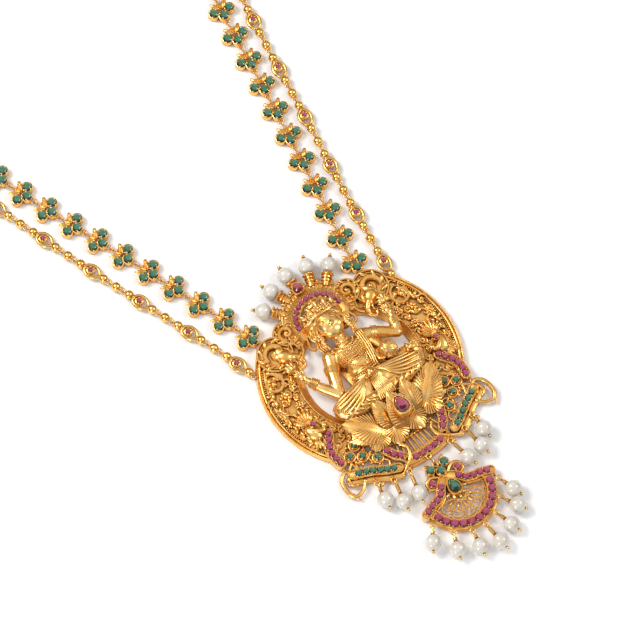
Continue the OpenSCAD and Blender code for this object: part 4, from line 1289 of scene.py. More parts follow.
@dataclass
class PendantRing:
    """The round openwork frame with its scallops, halo, crown collars, beasts and scrolls."""

    shop: Workshop

    def _bodies(self) -> list[Object]:
        """The flange, the relief's floor and the double rim."""
        flange = [(15.5, 0.0), (15.5, 0.3), (16.0, 0.5), (17.0, 1.0), (17.3, 1.35), (17.6, 1.42),
                  (19.3, 1.35), (19.3, 0.0)]
        outer = [(19.2, 0.0), (19.2, 1.3), (20.2, 1.42), (23.2, 1.55), (26.0, 1.4), (26.5, 1.2), (26.6, 0.0)]
        rim = [(26.45, 0.0), (26.55, 1.5), (26.85, 1.9), (27.15, 2.0), (27.4, 1.85), (27.5, 1.5),
               (27.62, 1.8), (27.9, 1.95), (28.2, 1.6), (28.2, 0.0)]
        low = [(19.2, 0.0), (19.2, 1.1), (20.4, 1.4), (22.5, 1.4), (22.58, 1.2), (22.58, 0.0)]
        top = [(19.2, 0.0), (19.2, 1.1), (19.8, 1.3), (20.9, 1.3), (21.0, 1.1), (21.0, 0.0)]
        floor = [Bench.lathe(flange, 110, 316, 112), Bench.lathe(outer, 40, 89, -43),
                 Bench.lathe(outer, 40, 89, 134)]
        # the flange and the relief's floor take the darker gold: painted shade under the relief
        for shape in floor:
            self.shop.dressed(shape, self.shop.palette.dark)
        return [*floor, Bench.lathe(rim, 60, 89, -43), Bench.lathe(rim, 60, 89, 134),
                Bench.lathe(low, 40, 94, -137), Bench.lathe(top, 12, 24, 44), Bench.lathe(top, 12, 24, 112)]

    def _beading(self) -> list[Object]:
        """The two rows of grains that frame the relief."""
        spots = []
        for side in Side:
            inner = mirrored(arc(17.5, -42, 50, 62), side)
            rim = mirrored(arc(26.45, -42, 34, 54), side)
            spots += [placed(*p, 1.42, size=0.33) for p in inner] + [placed(*p, 1.52, size=0.3) for p in rim]
        return self.shop.grains(spots)

    def _curl(self, centre: Point2, radius: float, start: float, sweep: float, height: float,
              wire: float = 0.5) -> list[Object]:
        """A tapering curl with a ball at its heart."""
        path = lifted(spiral(centre, radius, start, sweep), height)
        line = Bench.wires(
            [path], lambda t: wire * (0.55 + 0.5 * math.sin(math.pi * min(1, 0.25 + 0.75 * t))))
        heart = self.shop.balls([placed(*centre, height + 0.1, size=0.2 * radius + 0.22)])
        return [line, *heart]

    def _vine(self, side: Side) -> list[Object]:
        """The vine that fills the band: a wavy stem with curls and leaves to both sides."""
        parts: list[Object] = []
        stem, leaves = [], []
        for k in range(61):
            a = -40 + 74 * k / 60
            stem.append(polar(23.1 + 1.15 * math.sin(math.radians(a * 18)), a))
        parts.append(Bench.wires([lifted(mirrored(stem, side), 1.75)], 0.4))
        for k in range(8):
            a = -35 + 10 * k
            outward = k % 2 == 0
            centre = polar(24.9 if outward else 21.3, a)
            parts += self._curl(on_side(centre, side), 1.55, facing(a + (180 if outward else 0), side),
                                side.value * (430 if outward else -430), 1.9, 0.42)
            for turn, length, lift in ((a + 75, 2.6, 0.0), (a + 120, 2.3, 0.15), (a + 30, 2.2, 0.1)):
                spot = polar(22.0 if outward else 24.4, a + 2)
                leaves.append((spot, turn if outward else turn - 60, length, 1.75 + lift))
        places = []
        for spot, turn, length, height in leaves:
            x, y = on_side(spot, side)
            places.append(placed(x, y, height, facing(turn, side), (length, 1.15, 0.85), 6))
        for k in range(11):
            a = -37 + 8.2 * k
            centre = on_side(polar(18.9, a), side)
            lead = a + 200 if k % 2 else a + 160
            parts += self._curl(
                centre, 1.0, facing(lead, side), side.value * (400 if k % 2 else -400), 1.75, 0.34)
            for turn in (a + 68, a + 112):
                x, y = on_side(polar(19.3, a + 3), side)
                places.append(placed(x, y, 1.65, facing(turn, side), (2.0, 0.95, 0.8), 6))
        return parts + self.shop.leaves(places)

    def _low_relief(self, side: Side) -> list[Object]:
        """Curls and leaves on the ring's low part, under the ends of the ruby bands."""
        parts: list[Object] = []
        places = []
        for k in range(8):
            a = -38 - 7.0 * k if k < 7 else -38
            centre = on_side(polar(20.7 if k < 7 else 23.4, a), side)
            lead = a + (150 if k % 2 else 30)
            parts += self._curl(
                centre, 1.15, facing(lead, side), side.value * (420 if k % 2 else -420), 1.65, 0.36)
            for turn, out in ((a + 80, 19.9), (a + 100, 21.9), (a - 70, 20.4)):
                x, y = on_side(polar(out, a - 3), side)
                places.append(placed(x, y, 1.5, facing(turn, side), (2.1, 1.0, 0.8), 6))
        return parts + self.shop.leaves(places)

    def _leafy_rim(self, side: Side) -> list[Object]:
        """Overlapping leaves that run down inside the rim."""
        places = []
        for k in range(15):
            a = -38 + 5.2 * k
            x, y = on_side(polar(25.5, a), side)
            turn = a + 112
            places.append(placed(x, y, 1.85, facing(turn, side), (2.5, 1.3, 1.0), 10))
        return self.shop.leaves(places)

    def _elephant(self, side: Side) -> list[Object]:
        """An elephant's head in profile with its ear, trunk and tusk, turned to the halo."""
        balls = [placed(14.6, 14.3, 2.7, 45, (2.5, 2.0, 1.5)), placed(13.2, 13.0, 2.7, 45, (1.5, 1.4, 1.3)),
                 placed(13.3, 14.5, 3.55, 0, 0.3), placed(15.5, 13.2, 3.2, 20, (0.55, 0.4, 0.35))]
        ear = [placed(15.9, 15.2, 3.5, 130, (2.9, 2.4, 0.9), -4),
               placed(16.4, 14.1, 3.3, 100, (2.3, 1.7, 0.8), -4)]
        trunk = smooth([(13.2, 13.2, 3.0), (11.9, 12.1, 3.0), (11.3, 10.5, 2.7), (11.8, 9.2, 2.4),
                        (13.0, 9.0, 2.4), (13.4, 9.9, 2.5)], 5)
        tusk = smooth([(13.6, 12.2, 3.2), (13.0, 11.2, 3.2), (13.2, 10.4, 3.1)], 4)
        rings = [Bench.wires([[*smooth([(p[0] - 0.75, p[1] + 0.25, p[2] + 0.2), (p[0], p[1], p[2] + 0.95),
                                        (p[0] + 0.75, p[1] - 0.25, p[2] + 0.2)], 3)]], 0.13)
                 for p in trunk[4:14:3]]
        head = self.shop.fine_balls(balls) + self.shop.leaves(ear)
        parts = [*head, Bench.wires([trunk], lambda t: 1.0 - 0.62 * t, 2),
                 Bench.wires([tusk], lambda t: 0.36 - 0.24 * t, 2), *rings,
                 *self.shop.balls([placed(13.9 + 0.8 * math.cos(a), 15.6 + 0.5 * math.sin(a), 3.6, size=0.26)
                                   for a in (0, 1.1, 2.2, 3.3)])]
        return sided(parts, side)

    def _peacock(self, side: Side) -> list[Object]:
        """A peacock whose breast is a ruby's setting, with a curled neck and a raised fan."""
        plumes, eyes, quills = [], [], []
        for k in range(7):
            a = 90 + 15 * (k - 3)
            plumes.append(placed(21.4, -5.4, 2.35, a, (5.6 - 0.12 * (k - 3) ** 2, 1.35, 1.1), 2))
            tip = polar(5.0 - 0.12 * (k - 3) ** 2, a, (21.4, -5.4))
            eyes.append(placed(*tip, 2.75, a, (0.5, 0.42, 0.35)))
            quills.append([(*polar(1.4, a, (21.4, -5.4)), 2.95), (*polar(4.3, a, (21.4, -5.4)), 2.95)])
        body = [placed(21.7, -7.9, 2.4, 70, (2.9, 1.9, 1.5))]
        neck = smooth([(21.9, -7.0, 3.0), (20.6, -8.3, 3.4), (19.3, -8.9, 3.5), (18.5, -8.1, 3.5)], 5)
        head = [placed(18.4, -7.9, 3.6, 0, (0.85, 0.8, 0.75))]
        beak = [placed(18.1, -7.7, 3.6, 160, (1.5, 0.6, 0.5))]
        crest = [[(18.7, -7.4, 3.9), (*polar(1.5, a, (18.6, -7.6)), 4.1)] for a in (60, 80, 100)]
        crest_balls = [placed(*p[1], size=0.2) for p in crest]
        tail = [placed(22.1, -9.0, 2.4, a, (3.6, 1.3, 1.0), -3) for a in (-60, -80, -100)]
        wing = [placed(21.0, -8.0, 3.3, a, (2.6, 0.8, 0.6), -6) for a in (-40, -58, -76)]
        collet = self.shop.collets([(*PEACOCK_EYE, 4.42)], 1.5, 2.2)
        parts = [*self.shop.leaves([*plumes, *tail, *wing, *beak]), *self.shop.balls([*eyes, *crest_balls]),
                 *self.shop.fine_balls([*body, *head]), Bench.wires(quills, 0.15), Bench.wires(crest, 0.12),
                 Bench.wires([neck], lambda t: 0.95 - 0.35 * t, 2), *collet]
        return sided(parts, side)

    def _scallops(self, side: Side) -> list[Object]:
        """The two lobes that close the ring's top, each with a wire rim and a curl."""
        parts: list[Object] = []
        for (x, y), r, top, turn in (((36.5 * HUNDREDTH, 69 * HUNDREDTH), 3.67, 2.85, -60),
                                     ((57.5 * HUNDREDTH, 58.5 * HUNDREDTH), 5.08, 2.9, -20)):
            centre = on_side((x, y), side)
            outline = arc(r, 0, 350, 35, centre)
            parts.append(Bench.plate(outline, 0.0, top - 0.5, 0.25))
            parts.append(Bench.wires([lifted(arc(r - 0.25, -100, 260, 48, centre), top - 0.25)], 0.32))
            parts.append(Bench.wires([lifted(arc(r - 0.95, -100, 260, 48, centre), top - 0.4)], 0.2))
            start = facing(turn, side)
            parts += self._curl(centre, 0.6 * r, start, side.value * 430, top, 0.14 * r + 0.12)
            turns = [turn + 40 * k for k in range(9)]
            leaves = [placed(*polar(0.62 * r, a, centre), top - 0.35, a + side.value * 70,
                             (0.55 * r, 0.24 * r, 0.8), 6) for a in (facing(t, side) for t in turns)]
            parts += self.shop.leaves(leaves)
        return parts

    def _halo(self) -> list[Object]:
        """The arch round the head: ruby row, engraved band, flames, legs and curls."""
        centre = HALO_CENTRE
        profile = [(5.5, 1.0), (5.5, 2.7), (5.75, 2.95), (7.85, 2.9), (7.95, 2.55), (10.1, 2.55),
                   (10.3, 2.85), (10.6, 2.75), (10.6, 0.0), (8.0, 0.0)]
        arch = Bench.lathe(profile, 60, 222, -21)
        arch.data.transform(Matrix.Translation((*centre, 0)))
        rails = Bench.wires([lifted(arc(r, -20, 200, 70, centre), z)
                             for r, z in ((5.65, 2.95), (7.95, 2.95), (8.35, 2.75), (10.35, 2.85))], 0.17)
        strokes, flames, petals = [], [], []
        for k in range(31):
            a = -16 + 212 * k / 30
            strokes.append([(*polar(8.55, a, centre), 2.62), (*polar(9.3, a + 2.5, centre), 2.75),
                            (*polar(10.1, a + 1.5, centre), 2.65)])
            petals.append(placed(*polar(8.5, a + 3.5, centre), 2.6, a + 3.5, (1.55, 0.75, 0.6), 0))
        for k in range(19):
            a = -4 + 188 * k / 18
            flames.append(placed(*polar(10.3, a, centre), 2.2, a, (1.5, 1.2, 0.9), 0))
        legs = []
        for s in (1, -1):
            legs.append(smooth([(s * 6.6, 15.2, 2.7), (s * 7.2, 13.4, 2.7), (s * 7.6, 11.9, 2.6),
                                (s * 7.0, 11.0, 2.5), (s * 6.2, 11.4, 2.5), (s * 6.4, 12.2, 2.5)], 5))
            legs.append(smooth([(s * 9.0, 14.2, 2.6), (s * 9.6, 12.6, 2.4), (s * 10.8, 11.6, 2.0)], 5))
        leg_wires = Bench.wires(legs, 0.42)
        seats = Bench.copies(self.shop.kit.collet(),
                             [placed(*p, 3.02, 30 * i, (1.4, 1.4, 1.0)) for i, p in enumerate(HALO_SEATS)])
        beads = self.shop.grains([placed(*polar(7.62, a, centre), 3.0, size=0.22) for a in range(-6, 190, 4)])
        return [arch, rails, Bench.wires(strokes, 0.14), *self.shop.leaves(petals), *self.shop.leaves(flames),
                leg_wires, *seats, *beads]

    def _crown(self) -> list[Object]:
        """The ringed collars and headpins of the five pearls over the halo."""
        parts: list[Object] = []
        profile = [(0, 9.6), (1.0, 9.6), (1.0, 10.7), (1.35, 10.9), (1.4, 11.25), (1.05, 11.45), (1.05, 11.6),
                   (1.45, 11.8), (1.5, 12.15), (1.1, 12.35), (1.1, 12.5), (1.6, 12.75), (1.75, 13.1),
                   (1.5, 13.35), (0, 13.2)]
        for a in CROWN_BEARINGS:
            collar = Bench.turned(profile, 20)
            ribs = self.shop.grains([placed(*polar(1.68, 30 * k), 13.05, size=0.24) for k in range(12)])
            pin = Bench.wires([[(0, 0, 13), (0, 0, 18.5)]], 0.2)
            cap = self.shop.balls([placed(0, 0, 18.7, size=0.5), placed(0, 0, 18.2, 0, (0.7, 0.7, 0.16))])
            group = Bench.joined([collar, *ribs, pin, *cap])
            group.data.transform(Matrix.Translation((*HALO_CENTRE, PEARL_HEIGHT))
                                 @ Matrix.Rotation(math.radians(a), 4, "Z") @ ALONG_X)
            parts.append(group)
        return parts

    def _eyes(self) -> list[Object]:
        """The eyes that carry the four strands."""
        parts = []
        for joints in (inner_joints(LEFT_INNER), inner_joints(RIGHT_INNER), outer_joints(LEFT_OUTER),
                       outer_joints(RIGHT_OUTER)):
            turn = bearing(joints[0], joints[1])
            eye = Bench.eye(placed(*polar(-EYE_STEP, turn, joints[0]), JOINT_HEIGHT) @ UPRIGHT, EYE_WIRE)
            parts += [eye,
                      Bench.wires([[(*polar(-EYE_STEP - EYE_RADIUS, turn, joints[0]), JOINT_HEIGHT),
                                    (*polar(-EYE_STEP - EYE_RADIUS - 1.8, turn, joints[0]), 0.7)]], 0.5)]
        return parts

    def _side(self, side: Side) -> list[Object]:
        """All relief of one side."""
        curls = [((21.7, 9.9), 3.3, 100, 430, 2.0, 0.6), ((25.2, 5.6), 1.5, -40, 400, 1.9, 0.42),
                 ((19.0, 8.3), 1.4, 200, -400, 1.9, 0.4), ((23.9, -10.9), 1.6, 60, 420, 1.9, 0.42)]
        parts: list[Object] = []
        for centre, radius, start, sweep, height, wire in curls:
            parts += self._curl(
                on_side(centre, side), radius, facing(start, side), side.value * sweep, height, wire)
        flowers = [((21.5, 4.9), 1.8), ((19.6, 1.0), 1.4), ((24.9, 0.9), 1.4), ((17.6, 7.2), 1.3),
                   ((24.0, -3.4), 1.2)]
        parts += self.shop.rosettes([placed(*on_side(p, side), 1.95, 20, r) for p, r in flowers])
        parts += self._vine(side) + self._leafy_rim(side) + self._low_relief(side) + self._scallops(side)
        parts += self._elephant(side) + self._peacock(side)
        band = JewelBand(self.shop, mirrored(SIDE_RUBY_SEATS, side), 1.8, 2.9, BAND_TOP)
        return parts + band.parts()

    def build(self) -> None:
        """Delivers the ring with all that is soldered to it."""
        parts = self._bodies() + self._beading() + self._halo() + self._crown() + self._eyes()
        for side in Side:
            parts += self._side(side)
        pear = StoneRows(self.shop).halo_pear
        parts += pear.collet(4.05, 0.2)
        self.shop.deliver(parts, "pendant_ring", ["ring_frame"], Slot.GOLD, self.shop.palette.cast, 50)


# Lotus and figure

PETALS = [
    ((0, -79), (-2, -44), 27, 1.0), ((-12, -71), (-17, -39), 21, 0.74), ((14, -71), (18.5, -38.5), 21, 0.78),
    ((-19, -71), (-52.5, -39.5), 31, 0.6), ((21, -71.5), (54.5, -39.5), 31, 0.62),
    ((-30, -68), (-56, -57), 15, 0.4), ((24, -66), (50, -69.5), 17, 0.42), ((25, -66), (38, -80.5), 23, 0.33),
    ((7, -68), (11, -87), 24, 0.33), ((-11, -68), (-18, -87), 24, 0.33), ((-27, -66), (-42, -79), 23, 0.33)]


@dataclass
class Lotus:
    """The lotus seat: veined petals in tiers, with the pear ruby on the tallest one."""

    shop: Workshop
    floor: float = 1.8
    height: float = 10.0

    def _surface(
            self, root: Point3, tip: Point3, width: float, arch: float) -> Callable[[float, float], Point3]:
        """The petal's surface as a rule.

        Args:
            root, tip: where it starts and ends.
            width: its greatest width.
            arch: how far its back rises over the straight line.

        Returns:
            A rule from a share of the length, and a share of the half width, to a place.
        """
        length, turn = math.dist(root[:2], tip[:2]), bearing(root, tip)

        def rule(t: float, s: float) -> Point3:
            """The place at those two shares."""
            half = width / 2 * max(0.03, math.sin(math.pi * min(1.0, 0.06 + 0.94 * t) ** 0.74)) ** 0.85
            up = root[2] + (tip[2] - root[2]) * (1 - (1 - t) ** 1.5) + arch * math.sin(math.pi * t ** 0.8)
            up -= 0.3 * half * s * s
            x, y = polar(length * t, turn, root[:2])
            return (*polar(half * s, turn + 90, (x, y)), up)
        return rule

    def _petal(self, rule: Callable[[float, float], Point3], veins: int) -> list[Object]:
        """A petal on a surface: its sheet, its midrib and its veins."""
        Bench.clear()
        bpy.ops.mesh.primitive_grid_add(x_subdivisions=18, y_subdivisions=12, size=2)
        sheet = Bench.reshaped(bpy.context.object, lambda p: rule((p.x + 1) / 2, p.y))
        Bench.modified(sheet, "SOLIDIFY", thickness=0.5, offset=-1)
        lines = []
        for k in range(veins):
            edge = 0.2 + 0.76 * (k + 0.5) / veins
            for s in (1, -1):
                line = [
                    rule(edge * (0.5 + 0.5 * u), s * 0.97 * u ** 1.2) for u in (0.34, 0.5, 0.67, 0.84, 1.0)]
                lines.append([(x, y, z + 0.08) for x, y, z in line])
        ribs = Bench.wires(lines, lambda t: 0.17 + 0.2 * t, 1)
        middle = Bench.wires([[rule(0.05 + 0.95 * u / 8, 0) for u in range(9)]], lambda t: 0.24 - 0.13 * t, 1)
        return [sheet, ribs, middle]

    def build(self) -> None:
        """Delivers the lotus."""
        parts = []
        for root, tip, width, share in PETALS:
            (rx, ry), (tx, ty) = hundredths([root, tip])
            low = share <= 0.42
            rule = self._surface((rx, ry, self.floor + (1.7 if low else 1.2)),
                                 (tx, ty, self.height * share - 0.8), width * HUNDREDTH, 1.0 if low else 1.2)
            parts += self._petal(rule, 6 if low else 10)
        bed = Bench.plate([(-13, -19.2), (13, -19.2), (15.4, -16.5), (13.4, -13.4), (-13.4, -13.4),
                           (-15.4, -16.5)], self.floor - 0.35, self.floor + 1.5, 0.4)
        core = Bench.plate([(-9.6, -18.4), (9.6, -18.4), (11, -15.4), (9, -13.2), (-9, -13.2), (-11, -15.4)],
                           self.floor + 1.2, 4.2, 0.5)
        pear = StoneRows(self.shop).lotus_pear
        parts += [bed, core, *pear.collet(10.3, 7.2)]
        self.shop.deliver(parts, "lotus_seat", ["lotus_base"], Slot.GOLD, self.shop.palette.figure, 55)


HEAD_MIDDLE = Vector((0, 14.2, 4.5))
HEAD_GROWTH = 1.2
HEAD_PLACE = (
    Matrix.Translation(HEAD_MIDDLE) @ Matrix.Scale(HEAD_GROWTH, 4) @ Matrix.Translation(-HEAD_MIDDLE))


def grown(points: Iterable[Point2]) -> list[Point2]:
    """Points of the head at its full size."""
    return [(x * HEAD_GROWTH, HEAD_MIDDLE.y + (y - HEAD_MIDDLE.y) * HEAD_GROWTH) for x, y in points]


@dataclass
class SeatedFigure:
    """The seated figure with a calm, plain face, its dress, jewels, pot and flowers."""

    shop: Workshop
    voxel: float = 0.21
    body: Object | None = field(default=None, init=False)

    def _limb(self, *joints: tuple[float, float, float, float]) -> list[Object]:
        """A rounded limb through joints, each a place and a radius."""
        path = smooth([j[:3] for j in joints], 6)
        radii = [r[0] for r in smooth([(j[3], 0.0) for j in joints], 6)]
        last = len(radii) - 1
        limb = Bench.wires([path], lambda t: radii[min(last, round(t * last))], 4)
        ends = [placed(*joints[k][:3], size=joints[k][3] * 0.999) for k in (0, -1)]
        return [limb, *self.shop.fine_balls(ends)]

    def _flesh(self) -> Object:
        """Body, head, limbs and dress as one smooth cast form."""
        forms = [placed(0, -4.6, 3.6, 0, (5.4, 3.7, 3.2)), placed(0, 0.2, 3.3, 0, (3.9, 3.8, 2.8)),
                 placed(0, 4.6, 3.4, 0, (5.4, 3.8, 2.8)), placed(-2.3, 3.9, 4.5, 0, (2.0, 2.1, 1.6)),
                 placed(2.3, 3.9, 4.5, 0, (2.0, 2.1, 1.6))]
        face = [
            placed(0, 13.9, 4.9, 0, (3.35, 3.6, 2.75)), placed(0, 12.2, 5.5, 0, (2.6, 2.1, 1.9)),
            placed(0, 10.9, 6.1, 0, (1.05, 0.75, 0.8)), placed(-1.55, 12.7, 6.3, 0, (1.15, 1.1, 0.9)),
            placed(1.55, 12.7, 6.3, 0, (1.15, 1.1, 0.9)), placed(0, 13.05, 7.5, 0, (0.58, 0.46, 0.58)),
            placed(-0.48, 12.95, 7.2, 0, (0.36, 0.32, 0.36)), placed(0.48, 12.95, 7.2, 0, (0.36, 0.32, 0.36)),
            placed(0, 12.12, 7.15, 0, (0.95, 0.26, 0.36)), placed(0, 11.66, 7.05, 0, (0.75, 0.3, 0.36)),
            placed(-1.4, 14.4, 7.0, 0, (0.85, 0.5, 0.48)), placed(1.4, 14.4, 7.0, 0, (0.85, 0.5, 0.48)),
            placed(0, 16.4, 3.7, 0, (4.6, 3.4, 2.5)), placed(-3.3, 13.6, 3.4, 0, (1.5, 2.6, 1.7)),
            placed(3.3, 13.6, 3.4, 0, (1.5, 2.6, 1.7))]
        parts = self.shop.fine_balls(forms + [HEAD_PLACE @ place for place in face])
        parts += self._limb((0, 7.0, 3.9, 2.3), (0, 8.8, 4.5, 1.85), (0, 11.2, 4.8, 1.9))
        nose = self._limb((0, 14.9, 7.0, 0.3), (0, 14.0, 7.3, 0.34), (0, 13.2, 7.55, 0.42))
        for part in nose:
            part.data.transform(HEAD_PLACE)
        parts += nose
        parts += self._limb((-5.5, 6.3, 3.4, 2.15), (-7.8, 1.6, 3.7, 1.85), (-9.7, -3.6, 3.8, 1.6))
        parts += self._limb((-9.7, -3.6, 3.8, 1.6), (-12.5, 1.0, 3.9, 1.4), (-14.4, 5.2, 4.0, 0.95))
        parts += self._limb((5.5, 6.3, 3.4, 2.15), (9.8, 4.2, 3.7, 1.75), (13.6, 1.2, 3.8, 1.5))
        parts += self._limb((13.6, 1.2, 3.8, 1.5), (14.8, 4.0, 3.9, 1.35), (15.3, 6.4, 4.0, 0.95))
        parts += self._limb(
            (6.8, 3.4, 3.3, 1.5), (8.6, -1.8, 3.8, 1.35), (9.2, -4.4, 4.5, 1.3), (13.0, -4.4, 4.9, 1.0))
        parts += self._limb((-2.6, -6.9, 4.0, 3.3), (-8, -7.6, 4.0, 3.1), (-11.8, -8.0, 3.7, 2.65))
        parts += self._limb((2.6, -6.9, 4.0, 3.3), (8, -7.6, 4.0, 3.1), (12.6, -8.0, 3.7, 2.65))
        parts += self._limb((-11.4, -9.5, 4.0, 2.2), (-5, -10.6, 4.9, 2.2), (1.4, -10.9, 5.3, 1.8))
        parts += self._limb((12.2, -9.5, 4.0, 2.2), (5, -10.6, 4.6, 2.2), (-1.4, -11.0, 4.9, 1.8))
        parts += self._limb(
            (4.9, 7.0, 4.3, 1.1), (4.6, 3.0, 4.7, 1.0), (3.9, -0.5, 4.7, 1.0), (2.9, -3.4, 4.9, 0.9))
        body = Bench.joined(parts)
        Bench.modified(body, "REMESH", mode="VOXEL", voxel_size=self.voxel, use_smooth_shade=True)
        Bench.modified(body, "SMOOTH", factor=0.6, iterations=7)
        return body

    def _on(self, points: Iterable[Point2], lift: float = 0.1, least: float = 2.0) -> list[Point3]:
        """Points laid on the body from above, raised by a lift."""
        out = []
        for x, y in points:
            hit, place, _, _ = self.body.ray_cast(Vector((x, y, 30)), Vector((0, 0, -1)))
            out.append((x, y, (place.z if hit else least) + lift))
        return out

    def _line(self, points: Sequence[Point2], lift: float = 0.1, steps: int = 5) -> list[Point3]:
        """A smooth path through points, laid on the body."""
        return self._on([p[:2] for p in smooth(points, steps)], lift)

    def _chain_of(
            self, points: Sequence[Point2], pitch: float, size: float, lift: float = 0.1) -> list[Matrix]:
        """Places of beads along a path laid on the body."""
        flat = [p[:2] for p in smooth(points, 5)]
        return [placed(*p, size=size) for p in self._on(along(flat, pitch), lift)]

    def _face(self) -> list[Object]:
        """Eyelids, brows and a round forehead mark, on textbook proportions."""
        lines, thin, balls = [], [], []
        for s in (1, -1):
            lines.append(self._line(grown([(s * 0.5, 14.35), (s * 0.95, 14.72), (s * 1.5, 14.8),
                                           (s * 2.15, 14.42)]), 0.06))
            thin.append(self._line(grown([(s * 0.55, 14.28), (s * 1.3, 14.0), (s * 2.1, 14.36)]), 0.04))
            lines.append(self._line(grown([(s * 0.4, 15.15), (s * 1.15, 15.55), (s * 1.95, 15.45),
                                           (s * 2.5, 15.0)]), 0.06))
            balls += [placed(*p, 0, (0.42, 0.3, 0.2)) for p in self._on(grown([(s * 1.35, 14.36)]), 0.02)]
        balls += [placed(*p, size=0.24) for p in self._on(grown([(0, 15.75)]), 0.05)]
        return [Bench.wires(lines, lambda t: 0.07 + 0.14 * math.sin(math.pi * t), 1),
                Bench.wires(thin, 0.09, 1), *self.shop.balls(balls)]

    def _hair(self) -> list[Object]:
        """Parted hair in fine strands, and locks that fall to the shoulders."""
        strands, locks = [], []
        for s in (1, -1):
            for k in range(9):
                w = 0.28 * k
                strands.append(self._line(grown([(s * (0.12 + 0.1 * k), 17.0 - 0.04 * k),
                                                 (s * (1.3 + 0.45 * w), 16.7 - 0.4 * w),
                                                 (s * (2.9 + 0.3 * w), 15.6 - 0.3 * w),
                                                 (s * (3.35 + 0.3 * w), 13.7 - 0.25 * w)]), 0.12 - 0.01 * k))
            for k in range(4):
                x = 3.5 + 0.45 * k
                wave = [(s * (x + 0.22 * math.sin(1.9 * i)), 14.0 - 0.85 * i + 0.15 * k,
                         5.6 - 0.42 * k - 0.16 * i) for i in range(7)]
                locks.append(smooth(wave, 4))
        falling = Bench.wires(locks, lambda t: 0.42 - 0.18 * t, 2)
        falling.data.transform(HEAD_PLACE)
        return [Bench.wires(strands, 0.2), falling]

    def _crown(self) -> list[Object]:
        """The tiered crown, banded and studded, with its front flower and finial."""
        profile = [(0, 0), (3.05, 0), (3.2, 0.35), (3.05, 0.75), (2.75, 0.85), (2.7, 1.5), (2.85, 1.75),
                   (2.7, 2.05), (2.25, 2.15), (2.1, 2.8), (2.2, 3.0), (2.05, 3.25), (1.6, 3.35), (1.35, 4.0),
                   (1.4, 4.2), (1.2, 4.4), (0.7, 4.6), (0.45, 5.0), (0.6, 5.3), (0.4, 5.6), (0, 5.75)]
        crown = Bench.turned(profile, 40)
        grains = []
        for height, radius, count in ((0.35, 3.2, 34), (1.75, 2.86, 30), (3.0, 2.2, 24), (4.2, 1.4, 16)):
            grains += [placed(*polar(radius, 360 * k / count), height, size=0.2) for k in range(count)]
        beads = self.shop.grains(grains)
        ribs = Bench.wires(
            [[(*polar(2.86, a), 0.8), (*polar(2.75, a), 1.6)] for a in range(0, 360, 15)]
            + [[(*polar(2.25, a), 2.2), (*polar(2.12, a), 2.8)] for a in range(0, 360, 20)], 0.14)
        group = Bench.joined([crown, *beads, ribs])
        group.data.transform(Matrix.Translation((0, 16.4, 4.3)) @ Matrix.Diagonal((1.42, 0.88, 0.85, 1))
                             @ Matrix.Rotation(-math.pi / 2, 4, "X"))
        front = self.shop.rosettes([placed(0, 17.9, 6.85, 0, (1.1, 1.1, 0.9)),
                                    placed(-2.3, 17.4, 6.2, 0, 0.8), placed(2.3, 17.4, 6.2, 0, 0.8)])
        points = self.shop.leaves([placed(x, 17.3, z, 90 - 9 * x, (2.9 - 0.2 * abs(x), 1.2, 0.8), 0)
                                   for x, z in ((-3.3, 5.5), (-1.7, 6.4), (0, 6.85), (1.7, 6.4), (3.3, 5.5))])
        for part in (group, *front, *points):
            part.data.transform(HEAD_PLACE)
        return [group, *front, *points]

    def _jewels(self) -> list[Object]:
        """Ear ornaments, necklaces, garland, breast band, belt and its jewel."""
        balls, lines, leaves = [], [], []
        for s in (1, -1):
            leaves.append(HEAD_PLACE @ placed(s * 3.75, 12.6, 5.3, 0, (1.15, 1.15, 0.9)))
            balls += [HEAD_PLACE @ placed(s * 3.8, 11.2 - 0.62 * k, 5.2 - 0.1 * k, size=0.55 - 0.06 * k)
                      for k in range(3)]
        balls += self._chain_of([(-2.3, 8.7), (-1.3, 7.5), (0, 7.1), (1.3, 7.5), (2.3, 8.7)], 0.5, 0.27)
        balls += self._chain_of([(-3.4, 7.9), (-1.8, 5.9), (0, 5.3), (1.8, 5.9), (3.4, 7.9)], 0.56, 0.3)
        festoon = [(-4.0, 7.4), (-3.2, 3.2), (-1.8, 0.2), (0.2, -1.2), (2.2, 0.0), (3.4, 3.2), (4.1, 7.4)]
        lines += [self._line([(-2.9, 8.3), (-1.6, 6.7), (0, 6.2), (1.6, 6.7), (2.9, 8.3)], 0.1),
                  self._line(festoon, 0.12)]
        garland = self._on(along([p[:2] for p in smooth(festoon, 6)], 0.62), 0.16)
        balls += [placed(*p, size=0.33) for p in garland]
        flowers = [placed(*p, 0, (0.85, 0.85, 0.8)) for p in self._on([(0, 4.9), (0.2, -1.6)], 0.05)]
        for k in range(7):
            y = 2.2 + 0.48 * k
            lines.append(self._line([(-4.0, y), (-1.9, y - 0.25), (0, y), (1.9, y - 0.25), (4.0, y)], 0.06))
        for k in range(15):
            x = -3.85 + 0.55 * k
            lines.append(self._line([(x, 1.6), (x, 3.6), (x * 0.95, 5.4)], 0.06, 3))
        for k in range(5):
            y = 5.2 - 0.9 * k
            balls += self._chain_of([(-3.9, y + 0.7), (-1.8, y - 0.1), (0, y - 0.4), (1.8, y - 0.1),
                                     (3.7, y + 0.6)], 0.6, 0.3, 0.12)
        sash = [self._line([(4.9 + dx, 7.4), (4.6 + dx, 3.5), (4.0 + dx, 0), (3.0 + dx, -3.6)], 0.12)
                for dx in (-0.85, -0.3, 0.3, 0.85)]
        belt = [self._line(
                    [(-4.4, y + 0.35), (-2.2, y - 0.2), (0, y - 0.4), (2.2, y - 0.2), (4.4, y + 0.35)], 0.16)
                for y in (-2.2, -3.9)]
        balls += self._chain_of(
            [(-4.4, -2.7), (-2.2, -3.25), (0, -3.45), (2.2, -3.25), (4.4, -2.7)], 0.66, 0.36, 0.1)
